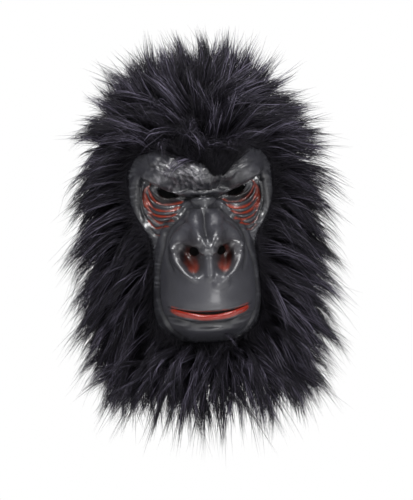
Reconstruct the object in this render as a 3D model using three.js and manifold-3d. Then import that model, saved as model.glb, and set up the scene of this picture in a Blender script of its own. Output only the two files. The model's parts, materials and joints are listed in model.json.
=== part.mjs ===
// Full-head gorilla costume mask: one hollow latex shell with a moulded face, open at the neck, and
// seven panels of long-pile fur glued round it. Millimetres. +Z is up and the face looks along -Y.
// The origin is the point inside the crown that rests on the wearer's head.

import * as THREE from "three";
import { mergeVertices } from "three/addons/utils/BufferGeometryUtils.js";
import Module from "manifold-3d";

const wasm = await Module();
wasm.setup();

// Latex shell
const WALL = 2;
const SHELL_HEIGHT = 298; // outer crown to the neck hem
const SHELL_WIDTH = 186; // ear to ear
const FRONT_DEPTH = 100; // crown axis to the forehead
const BACK_DEPTH = 112; // crown axis to the back of the head

// Bare moulded face, inside the hairline
const FACE_DROP = 75; // outer crown to the top of the bare face
const FACE_WIDTH = 142;
const FACE_HEIGHT = 188;
const MUZZLE_WIDTH = 106;
const MUZZLE_HEIGHT = 138;
const MUZZLE_REACH = 58;
const BROW_REACH = 21;
const NOSE_REACH = 9;
const SOCKET_DEPTH = 10;
const BAG_REACH = 5;
const NOSTRIL_DEPTH = 9;
const LIP_REACH = 4;

const STEEPEST = 0.18; // least share of a face normal along -Y that the wall is worked out for

// Openings cut through the face
const EYE_SPACING = 70;
const EYE_LENGTH = 18;
const EYE_HEIGHT = 7.5;
const EYE_SLANT = 24; // degrees, outer end up
const NOSTRIL_SPACING = 26;
const NOSTRIL_HOLE = 9.5; // diameter
const MOUTH_WIDTH = 80;
const MOUTH_GAP = 3.4;
const MOUTH_SAG = 7; // how far the middle of the slit lies under its corners

// Where the openings lie: the eyes as a share of FACE_HEIGHT down the face, the others as shares of
// MUZZLE_HEIGHT over the muzzle's widest level
const EYE_DOWN = 0.225;
const NOSTRIL_UP = 0.272;
const MOUTH_UP = -0.157;

// Fur
const FUR_CLEARANCE = 0.3; // glue line between the latex and the backing
const BACKING = 2.6; // skin and the dense foot of the pile
const PANEL_SEAT = 5; // how deep a panel reaches before the head under it is cut out of it
const SEAM_GAP = 0.8; // between the backings of two panels
const LOCK_LENGTH = 52;
const HEM_LOCK_LENGTH = 74;

// Mesh fineness
const FACE_COLUMNS = 20; // a multiple of four
const FACE_ROWS = 28; // even
const SHELL_ROWS = 11;
const FLOW_STEPS = 90;
const CUT_STEPS = 8;

const CROWN_Z = WALL;
const HEM_Z = CROWN_Z - SHELL_HEIGHT;
const FACE_TOP_Z = CROWN_Z - FACE_DROP;
const HALF_FACE = FACE_WIDTH / 2;

// The shell's outline at each level, as shares of SHELL_HEIGHT, half SHELL_WIDTH, FRONT_DEPTH and
// BACK_DEPTH.
const SECTIONS = [
  { drop: 0.0, width: 0.0, front: 0.0, back: 0.0 },
  { drop: 0.02, width: 0.41, front: 0.4, back: 0.4 },
  { drop: 0.08, width: 0.73, front: 0.71, back: 0.71 },
  { drop: 0.17, width: 0.91, front: 0.9, back: 0.89 },
  { drop: 0.28, width: 0.985, front: 0.985, back: 0.975 },
  { drop: 0.39, width: 1.0, front: 0.97, back: 1.0 },
  { drop: 0.52, width: 0.985, front: 0.94, back: 0.965 },
  { drop: 0.66, width: 0.95, front: 0.92, back: 0.88 },
  { drop: 0.8, width: 0.9, front: 0.9, back: 0.81 },
  { drop: 0.92, width: 0.84, front: 0.83, back: 0.79 },
  { drop: 1.0, width: 0.81, front: 0.8, back: 0.81 },
];

// Right half of the hairline: side is a share of half FACE_WIDTH from the middle, down a share of
// FACE_HEIGHT from the top of the face, and up a share of MUZZLE_HEIGHT from the muzzle's widest
// level, because the edge round the chin belongs to the muzzle. The three edges meet at a corner
// over the temple and one beside the chin.
const HAIRLINE_TOP = [
  { side: 0.0, down: 0.075 },
  { side: 0.18, down: 0.065 },
  { side: 0.38, down: 0.025 },
  { side: 0.6, down: 0.0 },
  { side: 0.86, down: 0.015 },
];
const HAIRLINE_SIDE = [
  { side: 0.86, down: 0.015 },
  { side: 0.965, down: 0.075 },
  { side: 1.0, down: 0.155 },
  { side: 0.97, down: 0.24 },
  { side: 0.9, down: 0.32 },
  { side: 0.81, down: 0.39 },
  { side: 0.74, down: 0.46 },
  { side: 0.715, down: 0.54 },
  { side: 0.73, down: 0.64 },
  { side: 0.75, up: -0.041 },
  { side: 0.73, up: -0.177 },
  { side: 0.65, up: -0.266 },
  { side: 0.52, up: -0.32 },
];
const HAIRLINE_BOTTOM = [
  { side: 0.52, up: -0.32 },
  { side: 0.38, up: -0.354 },
  { side: 0.2, up: -0.368 },
  { side: 0.0, up: -0.368 },
];

// Soft hills and dents of the face, mirrored where side isn't 0. side and halfWidth are shares of
// half FACE_WIDTH, down and halfHeight of FACE_HEIGHT, and reach is how far the middle stands out.
const SWELLS = [
  { side: 0.5, down: 0.245, halfWidth: 0.36, halfHeight: 0.085, reach: -SOCKET_DEPTH },
  { side: 0.5, down: 0.35, halfWidth: 0.32, halfHeight: 0.09, reach: BAG_REACH },
  { side: 0.88, down: 0.25, halfWidth: 0.13, halfHeight: 0.17, reach: BAG_REACH },
  { side: 0.0, down: 0.27, halfWidth: 0.28, halfHeight: 0.12, reach: NOSE_REACH },
];

// The same on the muzzle: the nose, its wings, the nostrils, the lower lip, the dip under it and the
// chin. side and halfWidth are shares of half MUZZLE_WIDTH, and up and halfHeight of MUZZLE_HEIGHT
// from the muzzle's widest level.
const MUZZLE_SWELLS = [
  { side: 0.0, up: 0.381, halfWidth: 0.48, halfHeight: 0.204, reach: NOSE_REACH },
  { side: 0.23, up: 0.32, halfWidth: 0.27, halfHeight: 0.095, reach: NOSE_REACH / 2 },
  { side: 0.3, up: 0.232, halfWidth: 0.27, halfHeight: 0.102, reach: -NOSTRIL_DEPTH },
  { side: 0.0, up: -0.211, halfWidth: 0.75, halfHeight: 0.048, reach: LIP_REACH },
  { side: 0.0, up: -0.252, halfWidth: 0.67, halfHeight: 0.027, reach: -LIP_REACH / 2 },
  { side: 0.0, up: -0.293, halfWidth: 0.6, halfHeight: 0.054, reach: LIP_REACH },
];

// The brow is one bar that dips to the middle, steep below and sloping back above. Shares as above.
const BROW = { down: 0.15, rise: 0.075, bend: 0.14, above: 0.15, below: 0.07, full: 0.6, end: 0.98 };

// The muzzle is widest low down and narrows up to the bridge of the nose. Shares of FACE_HEIGHT and
// MUZZLE_HEIGHT, then the powers of its outline and of its profile, low down and at the top.
const MUZZLE = { down: 0.73, above: 0.64, below: 0.36 };
const MUZZLE_OUTLINE = { low: 2.8, top: 1.6 };
const MUZZLE_PROFILE = { low: 0.62, top: 1.05 };

// Rows of locks, as shares of the way from the hairline to the hem.
const LOCK_ROWS = [0, 0.064, 0.128, 0.192, 0.256, 0.32, 0.417, 0.514, 0.611, 0.709, 0.806, 0.903, 1];

// Fur panels. from and to are shares of their edge of the hairline, clockwise from the upper left
// corner seen from the front. first, last and step pick from LOCK_ROWS.
const FUR_PANELS = [
  { name: "crown_fur", edge: "top", from: 0, to: 1, columns: 8, first: 0, last: 5, step: 1 },
  { name: "back_fur", edge: "top", from: 0, to: 1, columns: 8, first: 5, last: 12, step: 1 },
  { name: "right_temple_fur", edge: "right", from: 0, to: 0.47, columns: 4, first: 0, last: 12, step: 1 },
  { name: "right_cheek_fur", edge: "right", from: 0.47, to: 1, columns: 5, first: 0, last: 12, step: 2 },
  { name: "beard_fur", edge: "bottom", from: 0, to: 1, columns: 6, first: 0, last: 12, step: 4 },
  { name: "left_cheek_fur", edge: "left", from: 0, to: 0.53, columns: 5, first: 0, last: 12, step: 2 },
  { name: "left_temple_fur", edge: "left", from: 0.53, to: 1, columns: 4, first: 0, last: 12, step: 1 },
];

// How the locks stand at each level, as shares of SHELL_HEIGHT: off the head, along the flow, and
// pulled down.
const LOCK_LEAN = [
  { drop: 0.0, lift: 0.5, lay: 0.8, sag: 0.0 },
  { drop: 0.3, lift: 0.7, lay: 0.7, sag: 0.25 },
  { drop: 0.7, lift: 0.75, lay: 0.6, sag: 0.5 },
  { drop: 1.0, lift: 0.7, lay: 0.6, sag: 0.7 },
];

// A lock's cross-section and place at shares of its length.
const LOCK_RING = { along: 0.5, size: 0.62 };
const LENGTH_SPREAD = 0.3;
const FLOW_REACH = 0.02; // share of a flow line, to each side, that its heading is taken over

// Where the fur flows from, as a share of FACE_HEIGHT, and where rays to the shell start, as a
// share of SHELL_HEIGHT.
const FLOW_SOURCE_DOWN = 0.5;
const HEAD_CENTRE_DROP = 0.42;
const HEAD_CENTRE = new THREE.Vector3(0, 0, CROWN_Z - HEAD_CENTRE_DROP * SHELL_HEIGHT);

const LATEX = new THREE.MeshStandardMaterial({ color: 0x4a4b50, roughness: 0.42, metalness: 0 });
const FUR = new THREE.MeshStandardMaterial({ color: 0x17151b, roughness: 0.85, metalness: 0 });

// A column of a table at a value of its first column, on a smooth curve through the rows.
function tableValue(rows, key, column, at) {
  const last = rows.length - 1;
  const clamped = Math.min(Math.max(at, rows[0][key]), rows[last][key]);
  let i = 0;
  while (i < last - 1 && rows[i + 1][key] < clamped) i++;
  const slope = (a, b) => (rows[b][column] ** 2 - rows[a][column] ** 2) / (rows[b][key] - rows[a][key]);
  const width = rows[i + 1][key] - rows[i][key];
  const t = (clamped - rows[i][key]) / width;
  const slopeIn = i > 0 ? slope(i - 1, i + 1) : slope(i, i + 1);
  const slopeOut = i + 2 <= last ? slope(i, i + 2) : slope(i, i + 1);
  const square =
    rows[i][column] ** 2 * (1 + 2 * t) * (1 - t) ** 2 +
    rows[i + 1][column] ** 2 * t ** 2 * (3 - 2 * t) +
    width * (slopeIn * t * (1 - t) ** 2 - slopeOut * t ** 2 * (1 - t));
  return Math.sqrt(Math.max(square, 0));
}

function sectionAt(z) {
  const drop = (CROWN_Z - z) / SHELL_HEIGHT;
  return {
    halfWidth: (tableValue(SECTIONS, "drop", "width", drop) * SHELL_WIDTH) / 2,
    front: tableValue(SECTIONS, "drop", "front", drop) * FRONT_DEPTH,
    back: tableValue(SECTIONS, "drop", "back", drop) * BACK_DEPTH,
  };
}

// 1 on the smooth head form, more outside it.
function headForm(p) {
  if (p.z >= CROWN_Z) return 2 + p.z - CROWN_Z;
  const s = sectionAt(p.z);
  const depth = p.y < 0 ? s.front : s.back;
  return Math.hypot(p.x / Math.max(s.halfWidth, 1e-6), p.y / Math.max(depth, 1e-6));
}

// Where a ray from the head's centre leaves the head form.
function headPoint(direction) {
  let inside = 0;
  let outside = SHELL_HEIGHT + SHELL_WIDTH;
  for (let i = 0; i < 40; i++) {
    const middle = (inside + outside) / 2;
    const p = HEAD_CENTRE.clone().addScaledVector(direction, middle);
    if (headForm(p) < 1) inside = middle;
    else outside = middle;
  }
  return HEAD_CENTRE.clone().addScaledVector(direction, inside);
}

function headNormal(p) {
  const step = 0.5;
  const slope = (axis) => {
    const ahead = p.clone();
    const behind = p.clone();
    ahead[axis] += step;
    behind[axis] -= step;
    return headForm(ahead) - headForm(behind);
  };
  const low = Math.min(p.z, CROWN_Z - 2 * step);
  if (p.z > low) return new THREE.Vector3(0, 0, 1);
  return new THREE.Vector3(slope("x"), slope("y"), slope("z")).normalize();
}

const faceX = (side) => side * HALF_FACE;
const faceZ = (down) => FACE_TOP_Z - down * FACE_HEIGHT;
const muzzleX = (side) => (side * MUZZLE_WIDTH) / 2;
const muzzleZ = (up) => faceZ(MUZZLE.down) + up * MUZZLE_HEIGHT;

// A soft hill: 1 in the middle, 0 from r = 1 on.
const hill = (r) => (r >= 1 ? 0 : (1 - r * r) ** 2);

function fade(value, full, end) {
  const t = Math.min(Math.max((value - full) / (end - full), 0), 1);
  return 1 - t * t * (3 - 2 * t);
}

function browRelief(x, z) {
  const side = Math.abs(x) / HALF_FACE;
  const lineDown = BROW.down - BROW.rise * (Math.hypot(side, BROW.bend) - BROW.bend);
  const under = (faceZ(lineDown) - z) / FACE_HEIGHT;
  const reach = under > 0 ? under / BROW.below : -under / BROW.above;
  return BROW_REACH * hill(reach) * fade(side, BROW.full, BROW.end);
}

function muzzleRelief(x, z) {
  const up = z - muzzleZ(0);
  const halfHeight = (up > 0 ? MUZZLE.above : MUZZLE.below) * MUZZLE_HEIGHT;
  const share = Math.min(Math.abs(up) / halfHeight, 1);
  const atHeight = ({ low, top }) => (up > 0 ? low + (top - low) * share : low);
  const outline = atHeight(MUZZLE_OUTLINE);
  const across = (Math.abs(x) / muzzleX(1)) ** outline;
  return MUZZLE_REACH * Math.max(0, 1 - across - share ** outline) ** atHeight(MUZZLE_PROFILE);
}

function swellRelief(x, z) {
  let total = 0;
  for (const swell of SWELLS) {
    const rz = (z - faceZ(swell.down)) / (swell.halfHeight * FACE_HEIGHT);
    const rx = (Math.abs(x) - faceX(swell.side)) / faceX(swell.halfWidth);
    total += swell.reach * hill(Math.hypot(rx, rz));
  }
  for (const swell of MUZZLE_SWELLS) {
    const rz = (z - muzzleZ(swell.up)) / (swell.halfHeight * MUZZLE_HEIGHT);
    const rx = (Math.abs(x) - muzzleX(swell.side)) / muzzleX(swell.halfWidth);
    total += swell.reach * hill(Math.hypot(rx, rz));
  }
  return total;
}

// How far the face stands forward of the head form.
function faceRelief(x, z) {
  return Math.max(browRelief(x, z) + muzzleRelief(x, z) + swellRelief(x, z), -SOCKET_DEPTH);
}

function withRelief(p) {
  const forward = p.y < 0 ? faceRelief(p.x, p.z) : 0;
  return new THREE.Vector3(p.x, p.y - forward, p.z);
}

function facePoint(x, z) {
  const s = sectionAt(z);
  const y = -s.front * Math.sqrt(Math.max(0, 1 - (x / s.halfWidth) ** 2));
  return new THREE.Vector3(x, y, z);
}

// One edge of the hairline, in the front view, as evenly spaced points.
function edgePoints(rows, mirror, reverse, steps) {
  const level = (row) => ("up" in row ? muzzleZ(row.up) : faceZ(row.down));
  const points = rows.map((row) => new THREE.Vector2(mirror * faceX(row.side), level(row)));
  if (reverse) points.reverse();
  return new THREE.SplineCurve(points).getSpacedPoints(steps);
}

// The four edges of the hairline, clockwise from the upper left seen from the front.
function hairlineEdges(columns, rows) {
  const half = (table, mirror, reverse) => edgePoints(table, mirror, reverse, columns / 2);
  return {
    top: [...half(HAIRLINE_TOP, -1, true), ...half(HAIRLINE_TOP, 1, false).slice(1)],
    right: edgePoints(HAIRLINE_SIDE, 1, false, rows),
    bottom: [...half(HAIRLINE_BOTTOM, 1, false), ...half(HAIRLINE_BOTTOM, -1, true).slice(1)],
    left: edgePoints(HAIRLINE_SIDE, -1, true, rows),
  };
}

// The fur flows away from the face and towards the neck along straight lines of the head's
// stereographic picture seen from below, where the neck is at infinity.
const onPicture = (direction) =>
  new THREE.Vector2(direction.x, direction.y).divideScalar(1 + direction.z);

function fromPicture(w) {
  const square = w.lengthSq();
  return new THREE.Vector3(2 * w.x, 2 * w.y, 1 - square).divideScalar(1 + square);
}

const toCentre = (p) => p.clone().sub(HEAD_CENTRE).normalize();
const FLOW_SOURCE = onPicture(toCentre(facePoint(0, faceZ(FLOW_SOURCE_DOWN))));

// The flow line from a point of the hairline to the hem, as points on the shell and the lengths up
// to them.
function flowLine(start) {
  const first = onPicture(toCentre(facePoint(start.x, start.y)));
  const heading = first.clone().sub(FLOW_SOURCE).normalize();
  const at = (way) => headPoint(fromPicture(first.clone().addScaledVector(heading, way)));
  let short = 0;
  let long = 16;
  for (let i = 0; i < 30; i++) {
    const middle = (short + long) / 2;
    if (at(middle).z > HEM_Z) short = middle;
    else long = middle;
  }
  const points = [];
  const lengths = [];
  for (let i = 0; i <= FLOW_STEPS; i++) {
    points.push(at((short * i) / FLOW_STEPS));
    lengths.push(i ? lengths[i - 1] + points[i].distanceTo(points[i - 1]) : 0);
  }
  points[FLOW_STEPS].z = HEM_Z;
  return { points, lengths };
}

function flowPoint(line, share) {
  const length = Math.min(Math.max(share, 0), 1) * line.lengths[FLOW_STEPS];
  let i = 1;
  while (i < FLOW_STEPS && line.lengths[i] < length) i++;
  const t = (length - line.lengths[i - 1]) / (line.lengths[i] - line.lengths[i - 1]);
  return line.points[i - 1].clone().lerp(line.points[i], t);
}

// Points and triangles that share their points, as one closed solid.
class Solid {
  points = [];
  triangles = [];

  add(point) {
    return this.points.push(point) - 1;
  }

  quad(a, b, c, d) {
    this.triangles.push([a, b, c], [a, c, d]);
  }

  manifold() {
    const vertProperties = new Float32Array(this.points.flatMap((p) => p.toArray()));
    const triVerts = new Uint32Array(this.triangles.flat());
    return new wasm.Manifold(new wasm.Mesh({ numProp: 3, vertProperties, triVerts }));
  }
}

function asGeometry(solid) {
  const mesh = solid.getMesh();
  const geometry = new THREE.BufferGeometry();
  geometry.setAttribute("position", new THREE.BufferAttribute(mesh.vertProperties, 3));
  geometry.setIndex(new THREE.BufferAttribute(mesh.triVerts, 1));
  geometry.computeVertexNormals();
  return geometry;
}

function asManifold(geometry) {
  const bare = geometry.clone();
  bare.deleteAttribute("normal");
  bare.deleteAttribute("uv");
  const merged = mergeVertices(bare, 1e-4);
  const vertProperties = merged.attributes.position.array;
  const triVerts = new Uint32Array(merged.index.array);
  return new wasm.Manifold(new wasm.Mesh({ numProp: 3, vertProperties, triVerts }));
}

// The shell's outside: a grid over the face, then rings from the hairline to the hem with half as
// many columns.
function shellSurface() {
  const edges = hairlineEdges(FACE_COLUMNS, FACE_ROWS);
  const left = [...edges.left].reverse();
  const bottom = [...edges.bottom].reverse();
  const points = [];
  const quads = [];
  const grid = [];
  for (let j = 0; j <= FACE_ROWS; j++) {
    grid.push([]);
    for (let i = 0; i <= FACE_COLUMNS; i++) {
      const s = i / FACE_COLUMNS;
      const t = j / FACE_ROWS;
      const blend = (key) => {
        const across = (1 - s) * left[j][key] + s * edges.right[j][key];
        const along = (1 - t) * edges.top[i][key] + t * bottom[i][key];
        const upper = (1 - s) * left[0][key] + s * edges.right[0][key];
        const lower = (1 - s) * left[FACE_ROWS][key] + s * edges.right[FACE_ROWS][key];
        return across + along - (1 - t) * upper - t * lower;
      };
      grid[j].push(points.push(withRelief(facePoint(blend("x"), blend("y")))) - 1);
    }
  }
  for (let j = 0; j < FACE_ROWS; j++)
    for (let i = 0; i < FACE_COLUMNS; i++)
      quads.push([grid[j][i], grid[j + 1][i], grid[j + 1][i + 1], grid[j][i + 1]]);

  const facePoints = points.length;
  const hairline = [
    ...grid[0].slice(0, -1),
    ...grid.slice(0, -1).map((row) => row[FACE_COLUMNS]),
    ...grid[FACE_ROWS].slice(1).reverse(),
    ...grid.slice(1).map((row) => row[0]).reverse(),
  ];
  const corners = [edges.top, edges.right, edges.bottom, edges.left].flatMap((edge) => edge.slice(0, -1));
  const lines = corners.filter((_, k) => k % 2 === 0).map(flowLine);
  const rings = [];
  for (let r = 1; r <= SHELL_ROWS; r++)
    rings.push(lines.map((line) => points.push(withRelief(flowPoint(line, r / SHELL_ROWS))) - 1));
  const after = (ring, k) => ring[(k + 1) % ring.length];
  const triangles = rings[0].flatMap((a, k) => {
    const [b, first, middle] = [after(rings[0], k), hairline[2 * k], hairline[2 * k + 1]];
    return [[first, middle, a], [middle, b, a], [middle, after(hairline, 2 * k + 1), b]];
  });
  for (let r = 1; r < SHELL_ROWS; r++)
    rings[r - 1].forEach((a, k) => {
      quads.push([a, after(rings[r - 1], k), after(rings[r], k), rings[r][k]]);
    });
  triangles.push(...quads.flatMap((quad) => splitShorter(points, quad)));
  return { points, triangles, facePoints, hem: rings[SHELL_ROWS - 1] };
}

function splitShorter(points, [a, b, c, d]) {
  const first = points[a].distanceTo(points[c]);
  const second = points[b].distanceTo(points[d]);
  return first <= second ? [[a, b, c], [a, c, d]] : [[a, b, d], [b, c, d]];
}

function surfaceNormals({ points, triangles }) {
  const normals = points.map(() => new THREE.Vector3());
  for (const corners of triangles) {
    const [a, b, c] = corners.map((v) => points[v]);
    const area = b.clone().sub(a).cross(c.clone().sub(a));
    corners.forEach((v) => normals[v].add(area));
  }
  return normals.map((n) => n.normalize());
}

// The wall under the surface. Over the face its inside is the outside set back along Y, so that it
// never folds through itself however steep the face is.
function wallUnder(surface) {
  const normals = surfaceNormals(surface);
  const hem = new Set(surface.hem);
  const solid = new Solid();
  surface.points.forEach((point) => solid.add(point));
  const under = surface.points.length;
  surface.points.forEach((point, v) => {
    const p = point.clone();
    if (v < surface.facePoints) p.y += WALL / Math.max(-normals[v].y, STEEPEST);
    else p.addScaledVector(normals[v], -WALL);
    if (hem.has(v)) p.z = HEM_Z;
    solid.add(p);
  });
  for (const [a, b, c] of surface.triangles) {
    solid.triangles.push([a, b, c], [under + c, under + b, under + a]);
  }
  surface.hem.forEach((a, k) => {
    const b = surface.hem[(k + 1) % surface.hem.length];
    solid.quad(a, b, under + b, under + a);
  });
  return solid.manifold();
}

// The whole head under a copy of the surface moved out, with a flat bottom at the hem.
function filledTo(surface, out) {
  const normals = surfaceNormals(surface);
  const hem = new Set(surface.hem);
  const solid = new Solid();
  surface.points.forEach((point, v) => {
    const p = point.clone().addScaledVector(normals[v], out);
    if (hem.has(v)) p.z = HEM_Z;
    solid.add(p);
  });
  solid.triangles.push(...surface.triangles);
  const middle = solid.add(new THREE.Vector3(0, 0, HEM_Z));
  surface.hem.forEach((a, k) => {
    solid.triangles.push([a, surface.hem[(k + 1) % surface.hem.length], middle]);
  });
  return solid.manifold();
}

// A prism along Y, through the front wall only.
function frontCut(shape) {
  const length = 2 * FRONT_DEPTH;
  const prism = new THREE.ExtrudeGeometry(shape, {
    depth: length,
    bevelEnabled: false,
    curveSegments: CUT_STEPS,
  });
  prism.rotateX(Math.PI / 2);
  prism.translate(0, -FRONT_DEPTH / 4, 0);
  return asManifold(prism);
}

// A lens between two arcs through its ends, whose middle lies under the ends by the sag.
function lensShape(centre, length, height, sag, slant) {
  const shape = new THREE.Shape();
  const turn = THREE.MathUtils.degToRad(slant);
  const placed = (x, z) => new THREE.Vector2(x, z).rotateAround(new THREE.Vector2(), turn).add(centre);
  const ends = [placed(-length / 2, sag), placed(length / 2, sag)];
  const over = placed(0, height - sag);
  const under = placed(0, -height - sag);
  shape.moveTo(ends[0].x, ends[0].y);
  shape.quadraticCurveTo(under.x, under.y, ends[1].x, ends[1].y);
  shape.quadraticCurveTo(over.x, over.y, ends[0].x, ends[0].y);
  return shape;
}

function latexShell(surface) {
  const eyeZ = faceZ(EYE_DOWN);
  const nostrilZ = muzzleZ(NOSTRIL_UP);
  const mouthZ = muzzleZ(MOUTH_UP);
  let shell = wallUnder(surface);
  for (const side of [-1, 1]) {
    const eye = new THREE.Vector2((side * EYE_SPACING) / 2, eyeZ);
    shell = shell.subtract(frontCut(lensShape(eye, EYE_LENGTH, EYE_HEIGHT, 0, side * EYE_SLANT)));
    const hole = new THREE.Shape();
    hole.absarc((side * NOSTRIL_SPACING) / 2, nostrilZ, NOSTRIL_HOLE / 2, 0, 2 * Math.PI);
    shell = shell.subtract(frontCut(hole));
  }
  const mouth = new THREE.Vector2(0, mouthZ);
  shell = shell.subtract(frontCut(lensShape(mouth, MOUTH_WIDTH, MOUTH_GAP, MOUTH_SAG, 0)));
  return shell;
}

// A repeatable number from 0 to 1 for each lock.
function scatter(a, b) {
  const wave = Math.sin(a * 127.1 + b * 311.7) * 43758.5453;
  return wave - Math.floor(wave);
}

// The offset of a lock's middle at a length along it. It never leaves the plane of the normal and the
// flow, so that locks side by side can't cross.
function lockOffset(normal, flow, z, length) {
  const drop = (CROWN_Z - z) / SHELL_HEIGHT;
  const lean = (column) => tableValue(LOCK_LEAN, "drop", column, drop);
  const sideways = normal.clone().cross(flow).normalize();
  const down = new THREE.Vector3(0, 0, -1).projectOnPlane(sideways);
  const heading = normal.clone().multiplyScalar(lean("lift")).addScaledVector(flow, lean("lay"));
  heading.addScaledVector(down, (lean("sag") * length) / LOCK_LENGTH);
  return heading.normalize().multiplyScalar(length);
}

// The corners of a panel's cells, under and over its backing, with the normal and the flow there.
function panelFrames(solid, panel) {
  const curve = new THREE.SplineCurve(hairlineEdges(FACE_COLUMNS, FACE_ROWS)[panel.edge]);
  const inset = SEAM_GAP / 2 / curve.getLength();
  const frames = [];
  for (let c = 0; c <= panel.columns; c++) {
    const share = panel.from + inset + ((panel.to - panel.from - 2 * inset) * c) / panel.columns;
    const line = flowLine(curve.getPointAt(share));
    const rowInset = SEAM_GAP / 2 / line.lengths[FLOW_STEPS];
    frames.push([]);
    for (let r = panel.first; r <= panel.last; r += panel.step) {
      const atHem = r === LOCK_ROWS.length - 1;
      const shift = r === panel.first ? rowInset : r === panel.last && !atHem ? -rowInset : 0;
      const way = LOCK_ROWS[r] + shift;
      const base = withRelief(flowPoint(line, way));
      const normal = headNormal(base);
      const flow = flowPoint(line, way + FLOW_REACH).sub(flowPoint(line, way - FLOW_REACH)).normalize();
      const under = base.clone().addScaledVector(normal, -PANEL_SEAT);
      const over = base.clone().addScaledVector(normal, FUR_CLEARANCE + BACKING);
      if (atHem) under.z = over.z = HEM_Z;
      frames[c].push({ normal, flow, inner: solid.add(under), outer: solid.add(over) });
    }
  }
  return frames;
}

// A backing that follows the shell, with one lock grown from each cell of its outside.
function furPanel(panel, number) {
  const solid = new Solid();
  const frames = panelFrames(solid, panel);
  const rows = frames[0].length - 1;
  for (let c = 0; c < panel.columns; c++) {
    for (let r = 0; r < rows; r++) {
      const corners = [frames[c][r], frames[c + 1][r], frames[c + 1][r + 1], frames[c][r + 1]];
      const [a, b, e, d] = corners;
      solid.quad(d.inner, e.inner, b.inner, a.inner);
      if (c === 0) solid.quad(a.inner, a.outer, d.outer, d.inner);
      if (c === panel.columns - 1) solid.quad(b.outer, b.inner, e.inner, e.outer);
      if (r === 0) solid.quad(a.outer, a.inner, b.inner, b.outer);
      if (r === rows - 1) solid.quad(e.outer, e.inner, d.inner, d.outer);
      const atHem = r === rows - 1 && panel.last === LOCK_ROWS.length - 1;
      growLock(solid, corners, scatter(number * 100 + c, r), atHem);
    }
  }
  return solid.manifold();
}

function growLock(solid, corners, random, atHem) {
  const sum = (key) => corners.reduce((total, f) => total.add(f[key]), new THREE.Vector3());
  const normal = sum("normal").normalize();
  const flow = sum("flow").normalize();
  const middle = corners
    .reduce((total, f) => total.add(solid.points[f.outer]), new THREE.Vector3())
    .divideScalar(corners.length);
  const length = (atHem ? HEM_LOCK_LENGTH : LOCK_LENGTH) * (1 + LENGTH_SPREAD * (random - 0.5));
  const shift = lockOffset(normal, flow, middle.z, LOCK_RING.along * length);
  const ring = corners.map((f) => {
    const p = solid.points[f.outer].clone().sub(middle).multiplyScalar(LOCK_RING.size);
    return solid.add(p.add(middle).add(shift));
  });
  const tip = solid.add(middle.clone().add(lockOffset(normal, flow, middle.z, length)));
  corners.forEach((f, k) => {
    const next = (k + 1) % corners.length;
    solid.quad(f.outer, corners[next].outer, ring[next], ring[k]);
    solid.triangles.push([ring[k], ring[next], tip]);
  });
}

// The height of the shell's inside straight over the middle of the head.
function insideCrownZ(shell) {
  const positions = shell.attributes.position;
  const corner = (v) => new THREE.Vector3().fromBufferAttribute(positions, shell.index.getX(v));
  const upward = new THREE.Ray(HEAD_CENTRE, new THREE.Vector3(0, 0, 1));
  const hits = [];
  for (let v = 0; v < shell.index.count; v += 3) {
    const hit = upward.intersectTriangle(corner(v), corner(v + 1), corner(v + 2), false, new THREE.Vector3());
    if (hit) hits.push(hit.z);
  }
  return Math.min(...hits);
}

const mask = new THREE.Group();

function addPiece(name, geometry, material) {
  const mesh = new THREE.Mesh(geometry, material);
  mesh.name = name;
  mask.add(mesh);
}

const surface = shellSurface();
const underFur = filledTo(surface, FUR_CLEARANCE);
const shell = asGeometry(latexShell(surface));
addPiece("latex_shell", shell, LATEX);
FUR_PANELS.forEach((panel, number) => {
  addPiece(panel.name, asGeometry(furPanel(panel, number).subtract(underFur)), FUR);
});
mask.position.z = -insideCrownZ(shell);

export default mask;
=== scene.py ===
import json
import math

import bpy
import numpy as np
from mathutils import Matrix, Vector
from mathutils.kdtree import KDTree

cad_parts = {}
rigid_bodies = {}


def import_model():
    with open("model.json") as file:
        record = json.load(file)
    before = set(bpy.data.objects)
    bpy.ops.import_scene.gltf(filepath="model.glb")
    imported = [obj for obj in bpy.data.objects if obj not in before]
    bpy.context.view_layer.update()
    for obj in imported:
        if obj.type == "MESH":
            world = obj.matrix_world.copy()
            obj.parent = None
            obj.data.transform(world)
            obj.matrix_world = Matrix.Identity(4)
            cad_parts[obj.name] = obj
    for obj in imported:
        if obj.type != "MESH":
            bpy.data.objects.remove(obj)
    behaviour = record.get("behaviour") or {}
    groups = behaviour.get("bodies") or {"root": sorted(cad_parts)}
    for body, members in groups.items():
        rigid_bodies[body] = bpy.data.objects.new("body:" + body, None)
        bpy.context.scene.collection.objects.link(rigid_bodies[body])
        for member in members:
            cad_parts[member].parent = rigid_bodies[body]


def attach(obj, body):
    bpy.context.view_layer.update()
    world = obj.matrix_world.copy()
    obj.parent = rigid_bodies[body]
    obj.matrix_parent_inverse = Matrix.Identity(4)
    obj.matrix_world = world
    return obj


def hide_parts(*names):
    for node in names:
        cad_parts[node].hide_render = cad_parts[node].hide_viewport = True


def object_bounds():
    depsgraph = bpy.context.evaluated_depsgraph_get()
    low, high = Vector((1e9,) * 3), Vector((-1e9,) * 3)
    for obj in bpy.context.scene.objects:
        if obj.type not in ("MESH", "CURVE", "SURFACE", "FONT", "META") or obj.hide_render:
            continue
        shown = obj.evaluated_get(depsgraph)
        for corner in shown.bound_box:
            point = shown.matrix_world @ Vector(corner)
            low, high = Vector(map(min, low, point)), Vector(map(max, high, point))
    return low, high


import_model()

SOLIDS_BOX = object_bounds()


def rows(columns, *values):
    """A table's rows, each with the names of its columns. A short row leaves the last ones out."""
    return [dict(zip(columns.split(), row)) for row in values]


# Sizes in millimetres, turned into metres where a mesh is made. +Z is up and the face looks along -Y.
MM = 0.001

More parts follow.
